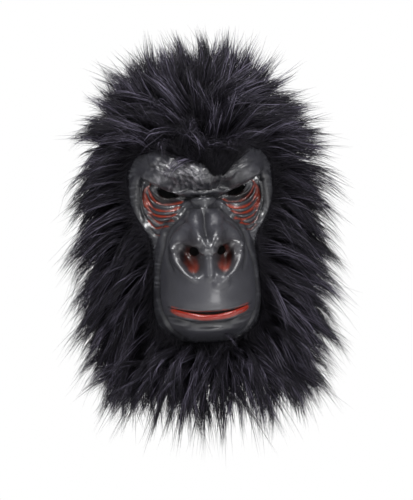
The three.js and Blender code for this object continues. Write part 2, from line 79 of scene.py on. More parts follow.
# Latex head
WALL = 2.0
CROWN_Z = 3.02
SHELL_HEIGHT = 298.0
SHELL_WIDTH = 186.0
FRONT_DEPTH = 100.0
BACK_DEPTH = 112.0
FACE_DROP = 75.0
FACE_WIDTH = 142.0
FACE_HEIGHT = 188.0
HEM_Z = CROWN_Z - SHELL_HEIGHT
FACE_TOP_Z = CROWN_Z - FACE_DROP
HALF_FACE = FACE_WIDTH / 2
CENTRE_DROP = 0.42
HEAD_CENTRE = np.array((0.0, 0.0, CROWN_Z - CENTRE_DROP * SHELL_HEIGHT))
FLOW_SOURCE_DOWN = 0.5  # the pile flows away from this level of the face

# Main forms of the face
MUZZLE_WIDTH = 106.0
MUZZLE_HEIGHT = 138.0
MUZZLE_REACH = 58.0
BROW_REACH = 21.0
NOSE_REACH = 9.0
SOCKET_DEPTH = 10.0
BAG_REACH = 5.0
NOSTRIL_DEPTH = 9.0
LIP_REACH = 4.0

# Openings: places are across from the middle and up from the origin
EYE_PLACE = (35.0, -114.3)
EYE_LENGTH = 18.0
EYE_HEIGHT = 7.5
EYE_SLANT = math.radians(24)
NOSTRIL_PLACE = (13.0, -171.6)
NOSTRIL_HOLE = 9.5
MOUTH_Z = -230.9
MOUTH_WIDTH = 80.0
MOUTH_GAP = 3.4
MOUTH_SAG = 7.0
LEAST_SLIT = 0.62  # half height of what is taken out where a slit narrows to its ends
SLIT_END = 1.3  # how far past its ends a slit draws its edges together
SAME_POINT = 0.05
FACE_DEPTH = -50.0  # all of the face lies in front of this
LEAST = 1e-6  # keeps a size from being nothing
SPAN = 0.5  # how far to each side a slope is taken

# Fineness of the curves and searches that place things on the head
SECTION_SAMPLES = 1201
CURVE_SAMPLES = 200  # for each stretch between two given points
FLOW_SAMPLES = 91
HEAD_HALVINGS = 32
HEM_HALVINGS = 28
HEM_SEARCH = 16.0  # how far past the hairline the hem is looked for, on the flat picture of directions

# Head outline at each level, in shares of the sizes above
SECTIONS = rows(
    "drop width front back",
    (0.0, 0.0, 0.0, 0.0),
    (0.02, 0.41, 0.4, 0.4),
    (0.08, 0.73, 0.71, 0.71),
    (0.17, 0.91, 0.9, 0.89),
    (0.28, 0.985, 0.985, 0.975),
    (0.39, 1.0, 0.97, 1.0),
    (0.52, 0.985, 0.94, 0.965),
    (0.66, 0.95, 0.92, 0.88),
    (0.8, 0.9, 0.9, 0.81),
    (0.92, 0.84, 0.83, 0.79),
    (1.0, 0.81, 0.8, 0.81),
)

# Hairline, right half: shares of half the face width and of the face height
HAIRLINE_TOP = [(0.0, 0.075), (0.18, 0.065), (0.38, 0.025), (0.6, 0.0), (0.86, 0.015)]
HAIRLINE_SIDE = [
    (0.86, 0.015), (0.965, 0.075), (1.0, 0.155), (0.97, 0.24), (0.9, 0.32), (0.81, 0.39), (0.74, 0.46),
    (0.715, 0.54), (0.73, 0.64), (0.75, 0.76), (0.73, 0.86), (0.65, 0.925), (0.52, 0.965),
]
HAIRLINE_BOTTOM = [(0.52, 0.965), (0.38, 0.99), (0.2, 1.0), (0.0, 1.0)]

# Hills and dents of the face, in shares of its half width and height
SWELLS = rows(
    "side down half_width half_height reach",
    (0.5, 0.245, 0.36, 0.085, -SOCKET_DEPTH),
    (0.5, 0.35, 0.32, 0.09, BAG_REACH),
    (0.88, 0.25, 0.13, 0.17, BAG_REACH),
    (0.0, 0.27, 0.28, 0.12, NOSE_REACH),
)

# The same on the muzzle, in shares of its half width and its height from its widest level
MUZZLE_SWELLS = rows(
    "side up half_width half_height reach",
    (0.0, 0.381, 0.48, 0.204, NOSE_REACH),
    (0.23, 0.32, 0.27, 0.095, NOSE_REACH / 2),
    (0.3, 0.232, 0.27, 0.102, -NOSTRIL_DEPTH),
    (0.0, -0.211, 0.75, 0.048, LIP_REACH),
    (0.0, -0.252, 0.67, 0.027, -LIP_REACH / 2),
    (0.0, -0.293, 0.6, 0.054, LIP_REACH),
)
BROW = {"down": 0.15, "rise": 0.075, "bend": 0.14, "above": 0.15, "below": 0.07, "full": 0.6, "end": 0.98}
MUZZLE = {"down": 0.73, "above": 0.64, "below": 0.36}
MUZZLE_OUTLINE = (2.8, 1.6)
MUZZLE_PROFILE = (0.62, 1.05)

# Fine modelling of the face: strokes on both sides or set down once, with their half width, how far
# they stand out of the skin, how red they are, and their run of (across, up) points. A way is the
# direction of the push where it isn't along the normal, and gloss marks the wet lip.
BOTH = (1, -1)
ONCE = (1,)
STROKES = rows(
    "sides half reach red path way gloss",
    # folds of the bags under the eyes, red in their grooves
    (BOTH, 2.2, -3.4, 0.9, [(19, -121), (27, -124), (38, -123.5), (48, -118), (53, -109)]),
    (BOTH, 2.4, -3.0, 1.0, [(21, -126), (31, -130.5), (43, -129), (52, -122), (55.5, -112)]),
    (BOTH, 2.4, -3.2, 1.0, [(25, -133), (36, -137), (47, -134.5), (54, -127), (56.5, -118)]),
    (BOTH, 2.2, -2.8, 0.9, [(29, -139.5), (39, -143.5), (49, -140), (55.5, -132)]),
    (BOTH, 2.0, -2.4, 0.8, [(34, -145), (44, -148.5), (52, -145), (56, -138)]),
    (BOTH, 2.0, -1.8, 0.6, [(40, -152), (47, -153), (53, -147)]),
    (BOTH, 2.8, -0.8, 0.75, [(49, -103), (54, -112), (55.5, -124), (52, -138)]),
    # ridges between them and the lower eyelid
    (BOTH, 1.7, 2.0, 0.1, [(22, -119.4), (33, -120.2), (44, -116), (50, -108)]),
    (BOTH, 1.5, 1.6, 0.0, [(24, -127), (36, -127.4), (46, -123.5), (52, -115)]),
    (BOTH, 1.5, 1.5, 0.0, [(26, -136), (37, -140), (48, -137.5), (54.5, -129)]),
    # brow: its heavy lower edge, the dark hollow under it, the lump in the middle and a fold over it
    (BOTH, 5.6, 6.5, 0.0, [(6, -113), (16, -114.5), (24, -110.5), (34, -105), (46, -98.5), (57, -93)]),
    (BOTH, 3.4, -5.0, 0.0, [(25, -117), (33, -111.5), (43, -105.5), (53, -100)]),
    (BOTH, 3.2, -4.5, 0.0, [(6, -119.5), (14, -121), (21, -119)]),
    (BOTH, 3.4, -3.4, 0.25, [(50, -103), (56, -100), (60, -103)]),
    (ONCE, 9.5, 3.6, 0.0, [(-4, -108), (5, -108)]),
    (BOTH, 2.0, -1.6, 0.0, [(11, -103), (22, -99), (38, -91), (52, -87)]),
    (BOTH, 13.0, 2.2, 0.0, [(26, -88), (42, -85)]),
    # dark fluted side of the socket, and its rim
    (BOTH, 3.0, -4.2, 0.0, [(59, -101), (61.5, -113), (60.5, -127), (56, -139)]),
    (BOTH, 1.4, 1.4, 0.0, [(56, -104), (58.5, -115), (57.8, -127)]),
    (BOTH, 3.4, 2.2, 0.0, [(64, -97), (67.5, -109), (66.5, -124), (61, -139), (52, -152)]),
    # line from the bridge down beside the muzzle to the chin, and the roll outside it
    (BOTH, 2.2, -3.2, 0.0, [(13, -127), (26, -139), (37, -152), (41, -166), (46, -184), (48, -203),
     (47.5, -220), (43, -236), (34, -249), (20, -256)]),
    (BOTH, 2.2, 1.6, 0.0, [(17, -125), (29, -137), (40, -151), (45, -166)]),
    # button on the bridge
    (ONCE, 4.4, 5.6, 0.0, [(-8, -124.3), (8, -124.3)]),
    (ONCE, 1.9, -3.8, 0.0, [(-12, -118.8), (12, -118.8)]),
    (ONCE, 1.7, -3.4, 0.0, [(-14, -129.6), (14, -129.6)]),
    # groove down the nose and the two lobes beside it
    (ONCE, 6.2, -4.2, 0.0, [(-1, -131), (-1.5, -148), (-1, -161)]),
    (BOTH, 9.5, 4.8, 0.0, [(10, -139), (12, -143)]),
    (BOTH, 9.5, 4.8, 0.0, [(10, -155), (8, -160)]),
    (ONCE, 6.5, 3.0, 0.0, [(-2, -170), (2, -170)]),
    # wings of the nose, the groove behind them, the rim round each nostril and the funnel inside it
    (BOTH, 7.5, 4.8, 0.0, [(20, -151), (26, -157), (31, -167)]),
    (BOTH, 2.2, -1.8, 0.0, [(17, -143), (29, -149), (36, -161), (37.5, -177), (33, -191)]),
    (BOTH, 2.6, 1.8, 0.0, [(0, -177.5), (6, -172.5), (14, -166), (22, -163.5), (29, -167)]),
    (BOTH, 3.2, 3.4, 0.0, [(29, -167), (31, -177), (26, -188), (13, -200)]),
    (ONCE, 6.0, 3.4, 0.0, [(0, -180), (0, -196)]),
    (BOTH, 11.0, -8.0, 0.8, [(16, -171), (17, -178), (14, -187)], (0, -1, 0)),
    # swell under the right nostril
    (ONCE, 7.5, 1.8, 0.0, [(8, -203), (14, -201)]),
    # lips, the ledge under them and the dark recess under that
    (ONCE, 1.6, 1.0, 1.3, [(-39, -222.6), (-22, -226.8), (0, -228.4), (22, -226.8), (39, -222.6)],
     (0, -1, -0.5)),
    (ONCE, 4.6, 3.4, 1.0, [(-38.5, -226.2), (-22, -232.2), (0, -235.2), (22, -232.2), (38.5, -226.2)],
     (0, -1, 0.22), True),
    (ONCE, 3.4, -2.8, 0.0, [(-41, -233.5), (-22, -240), (0, -242.8), (22, -240), (41, -233.5)]),
    # edge of the chin
    (ONCE, 5.0, 1.6, 0.0, [(-30, -254), (-16, -258), (0, -259), (16, -258), (30, -254)]),
)

# The groove down the middle of the nose, rounded at its bottom by so many rounds of smoothing
GROOVE = {"top": -124.0, "bottom": -196.0, "half_width": 3.6, "rounds": 10}

# How the strokes are laid
STROKE_STEPS = 4  # for each given point of its run
LONG_STROKE = 4  # a stroke longer than this many half widths tapers towards its ends
TAPERED_SHARE = 0.125  # about this much of a long stroke's length tapers at each end
END_DEPTH = 0.25  # what is left of its reach at the very end
SIDE_JITTER = 1.0  # how far the left half's strokes wander from the right half's

# Wrinkles of the brow, short strokes set down at random over patches
BROW_WRINKLES = rows(
    "middle half_size slope count reach",
    ((-30, -88), (18, 11), -0.9, 34, 1.0),
    ((-14, -100), (14, 8), -0.7, 22, 1.1),
    ((18, -100), (13, 8), 0.7, 20, 1.0),
)
WRINKLES = {"half": 1.9, "length": (7.0, 15.0), "turn": 0.35, "bow": 0.12, "depth": (0.5, 1.0)}
RIM_GRAIN = 11.0  # width of the grained strip inside the hairline
STROKES_BEFORE = -30.0  # strokes and the patches of painted shade, highlight and shine only touch the skin in front of this
STROKES_ABOVE = 1.06  # and above this share of the face's height
DARK_DEPTH = 2.5  # a groove this deep gets the full painted shade
STREAK_SLOPES = (-0.9, 0.7)  # of the painted highlight streaks on the left and the right of the brow

# How strong the painted shade, the shine and the painted highlight streaks are where each is laid
SHADING_STRENGTHS = {
    "crease": 0.7, "socket": 0.7, "right_brow": 0.6, "nostril": 0.72, "nose": 0.7, "right_highlight_streaks": 0.45
}

# Patches of painted shade, painted highlight streaks and shine, on both sides of the face
SHADING_PATCHES = rows(
    "name middle half_width half_height",
    ("socket", (44, -120), 22, 13),
    ("outer", (60, -117), 9, 29),
    ("brow", (18, -98), 44, 26),
    ("nose", (0, -155), 34, 34),
    ("eye", (34, -117), 17, 8),
    ("nostril", (17, -176), 16, 22),
)

# Fineness of the skin
FACE_COLUMNS = 140
FACE_ROWS = 168
FINE_COLUMNS = 400
SMOOTHED_ROWS = 25
EVENNESS = 0.6  # 1 spreads the columns evenly over the relief, 0 over its flat outline
FLOW_STEPS = 60
HOOD_RINGS = (1, 2, 3, 4, 6, 8, 10, 13, 16, 20, 25, 30, 36, 42, 48, 54, 60)  # at these flow steps

# Fur panels: the edge of the hairline that each grows away from, its share of that edge, and where it
# starts and ends on the way to the hem
CROWN_END = 0.32
FUR_PANELS = rows(
    "name edge from to start end strands",
    ("crown_fur", 0, 0.0, 1.0, 0.0, CROWN_END, 9700),
    ("back_fur", 0, 0.0, 1.0, CROWN_END, 1.0, 8200),
    ("right_temple_fur", 1, 0.0, 0.47, 0.0, 1.0, 7900),
    ("right_cheek_fur", 1, 0.47, 1.0, 0.0, 1.0, 5000),
    ("beard_fur", 2, 0.0, 1.0, 0.0, 1.0, 4700),
    ("left_cheek_fur", 3, 0.0, 0.53, 0.0, 1.0, 5000),
    ("left_temple_fur", 3, 0.53, 1.0, 0.0, 1.0, 7900),
)
BACKING = 1.5
CLEARANCE = 0.8
BACKING_COLUMNS = 16
BACKING_ROWS = 18
EDGE_LINES = 48

# How the pile leaves the head at each level: off it, along the flow and pulled down, its length and
# how far the strands of a lock draw together
PILE = rows(
    "drop lift lay sag length pull",
    (0.0, 0.95, 0.6, 0.0, 45.0, 0.5),
    (0.22, 0.85, 0.6, 0.45, 50.0, 0.7),
    (0.5, 0.88, 0.4, 0.85, 60.0, 0.92),
    (0.75, 0.92, 0.35, 0.85, 64.0, 0.95),
    (1.0, 0.7, 0.4, 0.95, 66.0, 0.9),
)

# Shorter pile at the lower corners and at the shoulders of the crown, which rounds the outline
HEM_SIDES = {"above": 75.0, "middle": 25.0, "out": 92.0, "shorter": 0.22}
TOP_SIDES = {"full": 25.0, "end": 95.0, "middle": 40.0, "out": 85.0, "shorter": 0.2}

# Locks: how their length varies, how they wander and drift, and how lift and sag change to the tip
LOCKS = {
    "length": (0.8, 1.15), "longer_right": 0.04, "right_from": 60, "wander": 0.26, "drift": 0.16, "steps": 8,
    "lift_root": 1.1, "lift_tip": 0.6, "sag_root": 0.2, "sag_tip": 1.7, "strands": 32,
}
DRIFT_WAVES = 5
DRIFT_LENGTH = 70.0

# Places where the pile is brushed another way: middle, how far round it, and which way
BRUSHED = rows(
    "middle round way",
    ((45, -60, -25), 60, (0.75, 0.0, -0.25)),
    ((-14, -30, 0), 20, (-0.1, 0.0, 0.5)),
    ((38, -10, -5), 52, (0.1, -0.2, 0.8)),
    ((82, -25, -60), 45, (0.7, 0.0, 0.2)),
    ((-75, -20, -45), 50, (0.3, 0.0, 0.3)),
    ((85, -30, -205), 75, (0.7, 0.0, 0.0)),
    ((-82, -30, -180), 85, (-0.25, 0.0, 0.05)),
    ((80, -30, -70), 45, (0.5, 0.0, 0.3)),
    ((80, -30, -290), 45, (0.6, 0.0, 0.4)),
    ((-80, -30, -290), 45, (-0.4, 0.0, 0.35)),
    ((40, -85, -285), 40, (0.5, -0.1, 0.1)),
    ((-40, -85, -285), 40, (-0.5, -0.1, 0.1)),
)
HEM_DENSITY = 1.6  # how much thicker the pile stands at the hem
HEM_ONLY = 8  # the higher, the less of the pile above the hem is thicker too

# Strands: shares of them, how far along their lock they reach, how thick and how stray they are
REACHES = {"long_share": 0.25, "long": (0.95, 1.12), "short": (0.55, 0.98)}
WISPS = {"share": 0.07, "reach": (1.1, 1.42)}
STRAYS = {"share": 0.1, "far": 6.5, "near": 2.2, "kink": 0.7, "from": 1.5}
DRAWN = {"pull": (0.72, 1.08), "from": 1.1}  # how strands draw together towards the end of their lock
# the bright share of strands also carries a painted highlight towards its tips
TONES = {"lock": 0.3, "strand": 0.35, "bright": 0.35, "bright_share": 0.3}
STRAND = {"radius": 0.31, "thickness": (0.65, 1.25), "tip": 0.55}
HAIRLINE = {
    "strands": 6, "band": 3.0, "turn": 0.55, "lift": (0.25, 0.9), "length": (7.0, 24.0),
    "bow": (0, 0, -0.5), "bow_shares": (0.2, 0.5, 0.85), "thickness": (0.6, 1.0), "tone": 0.5,
}
PEAK = {
    "strands": 700, "middle": 15.0, "half_width": 25.0, "narrower": 0.8, "top": -80.0, "tip": -101.0,
    "fan": 0.03, "way": (-0.4, 0.9), "turn": 0.22, "length": (12.0, 26.0),
    "bow": (0, 0.5, 0.2), "bow_shares": (0.0, 0.4, 0.8), "thickness": (0.7, 1.1), "tone": 0.3,
}
TRIM = {"share": 0.03, "reach": 8.0}  # how far past the solids' box the pile may stand out
STRAND_RINGS = (0.0, 0.35, 0.7)


# Head form

def section_table():
    """Half widths and reaches on a smooth curve through SECTIONS, worked out on their squares."""
    drops = np.array([row["drop"] for row in SECTIONS])
    fine = np.linspace(0.0, 1.0, SECTION_SAMPLES)
    table = {"drop": fine}
    for key in ("width", "front", "back"):
        squares = np.array([row[key] ** 2 for row in SECTIONS])
        slopes = np.empty_like(squares)
        slopes[1:-1] = (squares[2:] - squares[:-2]) / (drops[2:] - drops[:-2])
        slopes[0] = (squares[1] - squares[0]) / (drops[1] - drops[0])
        slopes[-1] = (squares[-1] - squares[-2]) / (drops[-1] - drops[-2])
        i = np.clip(np.searchsorted(drops, fine, side="right") - 1, 0, len(drops) - 2)
        width = drops[i + 1] - drops[i]
        t = (fine - drops[i]) / width
        first = squares[i] * (1 + 2 * t) * (1 - t) ** 2 + squares[i + 1] * t ** 2 * (3 - 2 * t)
        bend = width * (slopes[i] * t * (1 - t) ** 2 - slopes[i + 1] * t ** 2 * (1 - t))
        table[key] = np.maximum(first + bend, 0.0)
    return table


SECTION_TABLE = section_table()


def section(z):
    """Half width, front reach and back reach of the head at each height."""
    drop = (CROWN_Z - z) / SHELL_HEIGHT
    sizes = {"width": SHELL_WIDTH / 2, "front": FRONT_DEPTH, "back": BACK_DEPTH}
    reaches = []
    for key, size in sizes.items():
        square = np.interp(drop, SECTION_TABLE["drop"], SECTION_TABLE[key])
        reaches.append(np.maximum(np.sqrt(square) * size, LEAST))
    return reaches


def head_form(p):
    """Under 1 inside the head, 1 on it and more outside."""
    half_width, front, back = section(p[..., 2])
    depth = np.where(p[..., 1] < 0, front, back)
    form = np.hypot(p[..., 0] / half_width, p[..., 1] / depth)
    return np.where(p[..., 2] >= CROWN_Z, 2 + p[..., 2] - CROWN_Z, form)


def head_points(directions):
    """Where rays from the middle of the head meet it."""
    inside = np.zeros(directions.shape[:-1])
    outside = np.full(directions.shape[:-1], SHELL_HEIGHT + SHELL_WIDTH)
    for _ in range(HEAD_HALVINGS):
        middle = (inside + outside) / 2
        within = head_form(HEAD_CENTRE + directions * middle[..., None]) < 1
        inside = np.where(within, middle, inside)
        outside = np.where(within, outside, middle)
    return HEAD_CENTRE + directions * inside[..., None]


def unit(v):
    return v / np.maximum(np.linalg.norm(v, axis=-1, keepdims=True), LEAST)


def head_normals(p):
    low = p.copy()
    low[..., 2] = np.minimum(low[..., 2], CROWN_Z - 2 * SPAN)
    slopes = []
    for axis in range(3):
        ahead = low.copy()
        behind = low.copy()
        ahead[..., axis] += SPAN
        behind[..., axis] -= SPAN
        slopes.append(head_form(ahead) - head_form(behind))
    return unit(np.stack(slopes, axis=-1))


# Face relief

def face_z(down):
    return FACE_TOP_Z - down * FACE_HEIGHT


def hill(r):
    return np.where(r >= 1, 0.0, (1 - np.minimum(r, 1) ** 2) ** 2)


def fade(value, full, end):
    t = np.clip((value - full) / (end - full), 0, 1)
    return 1 - t * t * (3 - 2 * t)


def brow_relief(x, z):
    side = np.abs(x) / HALF_FACE
    line = BROW["down"] - BROW["rise"] * (np.hypot(side, BROW["bend"]) - BROW["bend"])
    under = (face_z(line) - z) / FACE_HEIGHT
    reach = np.where(under > 0, under / BROW["below"], -under / BROW["above"])
    return BROW_REACH * hill(reach) * fade(side, BROW["full"], BROW["end"])


def muzzle_relief(x, z):
    up = z - face_z(MUZZLE["down"])
    half_height = np.where(up > 0, MUZZLE["above"], MUZZLE["below"]) * MUZZLE_HEIGHT
    share = np.minimum(np.abs(up) / half_height, 1)
    rise = np.where(up > 0, share, 0)
    outline = MUZZLE_OUTLINE[0] + (MUZZLE_OUTLINE[1] - MUZZLE_OUTLINE[0]) * rise
    profile = MUZZLE_PROFILE[0] + (MUZZLE_PROFILE[1] - MUZZLE_PROFILE[0]) * rise
    across = (np.abs(x) / (MUZZLE_WIDTH / 2)) ** outline
    return MUZZLE_REACH * np.maximum(0, 1 - across - share ** outline) ** profile


def swell_relief(x, z):
    total = 0.0
    for swell in SWELLS:
        rz = (z - face_z(swell["down"])) / (swell["half_height"] * FACE_HEIGHT)
        rx = (np.abs(x) - swell["side"] * HALF_FACE) / (swell["half_width"] * HALF_FACE)
        total = total + swell["reach"] * hill(np.hypot(rx, rz))
    for swell in MUZZLE_SWELLS:
        rz = (z - face_z(MUZZLE["down"])) / MUZZLE_HEIGHT - swell["up"]
        rx = np.abs(x) / (MUZZLE_WIDTH / 2) - swell["side"]
        total = total + swell["reach"] * hill(np.hypot(rx / swell["half_width"], rz / swell["half_height"]))
    return total


def face_relief(x, z):
    return np.maximum(brow_relief(x, z) + muzzle_relief(x, z) + swell_relief(x, z), -SOCKET_DEPTH)


def with_relief(p):
    out = p.copy()
    out[..., 1] -= np.where(p[..., 1] < 0, face_relief(p[..., 0], p[..., 2]), 0)
    return out


def face_points(x, z):
    half_width, front, _ = section(z)
    y = -front * np.sqrt(np.maximum(0, 1 - (x / half_width) ** 2))
    return np.stack((x, y, z), axis=-1)


# Hairline and the flow of the pile

def lengths_along(points):
    """How far along its line each point lies."""
    steps = np.linalg.norm(np.diff(points, axis=-2), axis=-1).cumsum(axis=-1)
    return np.concatenate((np.zeros((*steps.shape[:-1], 1)), steps), axis=-1)


def places_on(line, at, wanted):
    """Places at the wanted lengths of a line whose points lie at the given lengths."""
    return np.stack([np.interp(wanted, at, line[:, k]) for k in range(line.shape[1])], axis=-1)


def smooth_run(points, count):
    """Evenly spaced points on a smooth curve through the given ones."""
    points = np.array(points, float)
    last = len(points) - 1
    at = np.linspace(0, last, CURVE_SAMPLES * last + 1)
    i = np.minimum(at.astype(int), last - 1)
    t = (at - i)[:, None]
    p0, p1, p2, p3 = (points[np.clip(i + k, 0, last)] for k in (-1, 0, 1, 2))
    tangent_in, tangent_out = (p2 - p0) / 2, (p3 - p1) / 2
    curve = (2 * p1 - 2 * p2 + tangent_in + tangent_out) * t ** 3
    curve = curve + (-3 * p1 + 3 * p2 - 2 * tangent_in - tangent_out) * t ** 2 + tangent_in * t + p1
    lengths = lengths_along(curve)
    return places_on(curve, lengths, np.linspace(0, lengths[-1], count + 1))


def placed(shares, mirror):
    """Points of the hairline's right half, or of its left half in the other order."""
    points = [(mirror * side * HALF_FACE, face_z(down)) for side, down in shares]
    return points[::-1] if mirror < 0 else points


def hairline_edges(across, along):
    """The four edges of the hairline, clockwise from the upper left seen from the front."""
    half = across // 2

    def both_halves(shares, first):
        halves = [smooth_run(placed(shares, side), half) for side in (first, -first)]
        return np.vstack((halves[0], halves[1][1:]))

    right, left = (smooth_run(placed(HAIRLINE_SIDE, side), along) for side in (1, -1))
    return [both_halves(HAIRLINE_TOP, -1), right, both_halves(HAIRLINE_BOTTOM, 1), left]


def on_picture(directions):
    """Directions from the middle of the head, laid on a flat picture round the crown."""
    return directions[..., :2] / (1 + directions[..., 2:])


def from_picture(w):
    square = (w ** 2).sum(-1, keepdims=True)
    return np.concatenate((2 * w, 1 - square), axis=-1) / (1 + square)


def flow_lines(starts, steps):
    """Points from each start on the hairline to the hem, evenly spaced along the head."""
    source = on_picture(unit(face_points(np.array(0.0), np.array(face_z(FLOW_SOURCE_DOWN))) - HEAD_CENTRE))
    first = on_picture(unit(face_points(starts[:, 0], starts[:, 1]) - HEAD_CENTRE))
    heading = unit(first - source)
    short = np.zeros(len(starts))
    far = np.full(len(starts), HEM_SEARCH)
    for _ in range(HEM_HALVINGS):
        middle = (short + far) / 2
        above = head_points(from_picture(first + heading * middle[:, None]))[:, 2] > HEM_Z
        short = np.where(above, middle, short)
        far = np.where(above, far, middle)
    shares = np.linspace(0, 1, FLOW_SAMPLES)
    ways = first[:, None] + heading[:, None] * (short[:, None] * shares)[..., None]
    points = head_points(from_picture(ways))
    points[:, -1, 2] = HEM_Z
    lines = zip(points, lengths_along(points))
    return np.stack([places_on(line, at, np.linspace(0, at[-1], steps + 1)) for line, at in lines])


def find_nearest(places, wanted):
    """For each wanted place, how far away the nearest of the places is, and which one."""
    tree = KDTree(len(places))
    for n, place in enumerate(places):
        tree.insert(Vector(place), n)
    tree.balance()
    found = [tree.find(Vector(place)) for place in wanted]
    return np.array([away for _, _, away in found]), np.array([n for _, n, _ in found])


# Mesh helpers

def deselect():
    bpy.ops.object.select_all(action="DESELECT")


def make_active(piece):
    deselect()
    piece.select_set(True)
    bpy.context.view_layer.objects.active = piece


def edit():
    bpy.ops.object.mode_set(mode="EDIT")


def stop_editing():
    bpy.ops.object.mode_set(mode="OBJECT")


def read_vectors(holders, key):
    vectors = np.empty(len(holders) * 3, np.float32)
    holders.foreach_get(key, vectors)
    return vectors.reshape(-1, 3).astype(float)


def read_points(mesh):
    return read_vectors(mesh.vertices, "co")


def write_points(mesh, points):
    mesh.vertices.foreach_set("co", np.asarray(points, np.float32).ravel())
    mesh.update()


def paint(mesh, name, values):
    """A number for each vertex, kept on the mesh for its material."""
    layer = mesh.attributes.get(name) or mesh.attributes.new(name, "FLOAT", "POINT")
    layer.data.foreach_set("value", np.asarray(values, np.float32))


# Latex skin

def sheet_map(s, t, edges):
    """Blends the four edges of the hairline over the face: s across, t down."""
    top, right, bottom, left = edges
    bottom, left = bottom[::-1], left[::-1]

    def along(edge, share):
        return places_on(edge, np.arange(len(edge)), share * (len(edge) - 1))

    s1, t1 = s[..., None], t[..., None]
    across = (1 - s1) * along(left, t) + s1 * along(right, t)
    down = (1 - t1) * along(top, s) + t1 * along(bottom, s)
    upper = (1 - s1) * left[0] + s1 * right[0]
    lower = (1 - s1) * left[-1] + s1 * right[-1]
    return across + down - (1 - t1) * upper - t1 * lower


def even_shares(edges):
    """Shares across, row by row, that spread the sheet's columns over its real surface."""
    s, t = np.meshgrid(np.linspace(0, 1, FINE_COLUMNS + 1), np.linspace(0, 1, FACE_ROWS + 1))
    plane = sheet_map(s, t, edges)
    solid = with_relief(face_points(plane[..., 0], plane[..., 1]))
    lengths = lengths_along(solid)
    lengths = lengths / lengths[:, -1:]
    kernel = np.hanning(SMOOTHED_ROWS) / np.hanning(SMOOTHED_ROWS).sum()
    margin = SMOOTHED_ROWS // 2
    padded = np.pad(lengths, ((margin, margin), (0, 0)), mode="edge")
    lengths = np.stack([np.convolve(column, kernel, mode="valid") for column in padded.T], axis=1)
    mixed = EVENNESS * lengths + (1 - EVENNESS) * s
    wanted = np.linspace(0, 1, FACE_COLUMNS + 1)
    return np.stack([np.interp(wanted, row, s[0]) for row in mixed])


def make_sheet(edges):
    """A grid laid over the face inside the hairline."""
    deselect()
    bpy.ops.mesh.primitive_grid_add(x_subdivisions=FACE_COLUMNS, y_subdivisions=FACE_ROWS, size=2)
    piece = bpy.context.object
    piece.name = "latex_skin"
    flat = read_points(piece.data)
    column = np.rint((flat[:, 0] + 1) / 2 * FACE_COLUMNS).astype(int)
    row = np.rint((1 - flat[:, 1]) / 2 * FACE_ROWS).astype(int)
    across = even_shares(edges)[row, column]
    plane = sheet_map(across, row / FACE_ROWS, edges)
    write_points(piece.data, with_relief(face_points(plane[:, 0], plane[:, 1])))
    on_border = (row % FACE_ROWS == 0) | (column % FACE_COLUMNS == 0)
    return piece, np.flatnonzero(on_border)


def extend_to_hem(piece, border):
    """Extrudes the sheet's border ring by ring along the flow, over the head and down to the hem."""
    start = read_points(piece.data)[border]
    lines = flow_lines(start[:, (0, 2)], FLOW_STEPS)
    make_active(piece)
    edit()
    bpy.ops.mesh.select_mode(type="EDGE")
    bpy.ops.mesh.select_all(action="SELECT")
    bpy.ops.mesh.region_to_loop()
    before = border
    for ring in HOOD_RINGS:
        bpy.ops.mesh.extrude_region()
        stop_editing()
        points = read_points(piece.data)
        fresh = np.arange(len(points) - len(border), len(points))
        old_order = np.lexsort(points[before].round(4).T)
        new_order = np.lexsort(points[fresh].round(4).T)
        after = np.empty_like(before)
        after[old_order] = fresh[new_order]
        points[after] = with_relief(lines[:, ring])
        write_points(piece.data, points)
        before = after
        edit()
    stop_editing()


def stroke_field(x, z, stroke):
    """How much each place lies on a stroke: 1 on its middle line, 0 from its half width on."""
    field = np.zeros_like(x)
    for side in stroke["sides"]:
        points = np.array(stroke["path"], float)
        if side < 0 and stroke["red"] > 0:
            points += np.random.default_rng(len(points)).normal(0, SIDE_JITTER, points.shape)
        path = smooth_run(points, STROKE_STEPS * len(points))
        nearest = np.full(x.shape, np.inf)
        along = np.zeros_like(x)
        for n, (a, b) in enumerate(zip(path[:-1], path[1:])):
            step = b - a
            dx, dz = side * x - a[0], z - a[1]
            t = np.clip((dx * step[0] + dz * step[1]) / (step @ step), 0, 1)
            away = np.hypot(dx - t * step[0], dz - t * step[1])
            closer = away < nearest
            nearest = np.where(closer, away, nearest)
            along = np.where(closer, (n + t) / (len(path) - 1), along)
        is_long = np.linalg.norm(path[-1] - path[0]) > LONG_STROKE * stroke["half"]
        taper = np.minimum(1, np.minimum(along, 1 - along) / TAPERED_SHARE + END_DEPTH) if is_long else 1
        field = 1 - (1 - field) * (1 - hill(nearest / stroke["half"]) * taper)
    return field


def brow_wrinkles():
    """Short strokes at random over the brow, alternately raised and sunk."""
    rng = np.random.default_rng(7)
    strokes = []
    for patch in BROW_WRINKLES:
        for n in range(patch["count"]):
            place = np.array(patch["middle"]) + rng.uniform(-1, 1, 2) * patch["half_size"]
            angle = math.atan(patch["slope"]) + rng.normal(0, WRINKLES["turn"])
            length = rng.uniform(*WRINKLES["length"])
            bow = rng.normal(0, WRINKLES["bow"]) * length
            way = np.array((math.cos(angle), math.sin(angle)))
            middle = place + bow * np.array((-way[1], way[0]))
            first, last = (place + side * way * length / 2 for side in (-1, 1))
            reach = patch["reach"] * rng.uniform(*WRINKLES["depth"]) * (1 if n % 2 else -1)
            strokes.append((ONCE, WRINKLES["half"], reach, 0.0, [first, middle, last]))
    return rows("sides half reach red path", *strokes)


def rim_places(points, hairline):
    """For each point, how far it is from the hairline and how far round the hairline its nearest is."""
    loop = np.concatenate([edge[:-1] for edge in hairline])
    flat = np.stack((points[:, 0], points[:, 2], np.zeros(len(points))), axis=-1)
    away, nearest = find_nearest(np.insert(loop, 2, 0, axis=1), flat)
    return away, lengths_along(loop)[nearest]


def skin_normals(x, z):
    """Normals of the unsculpted skin at places on the face."""
    across = with_relief(face_points(x + SPAN, z)) - with_relief(face_points(x - SPAN, z))
    up = with_relief(face_points(x, z + SPAN)) - with_relief(face_points(x, z - SPAN))
    return unit(np.cross(across, up))


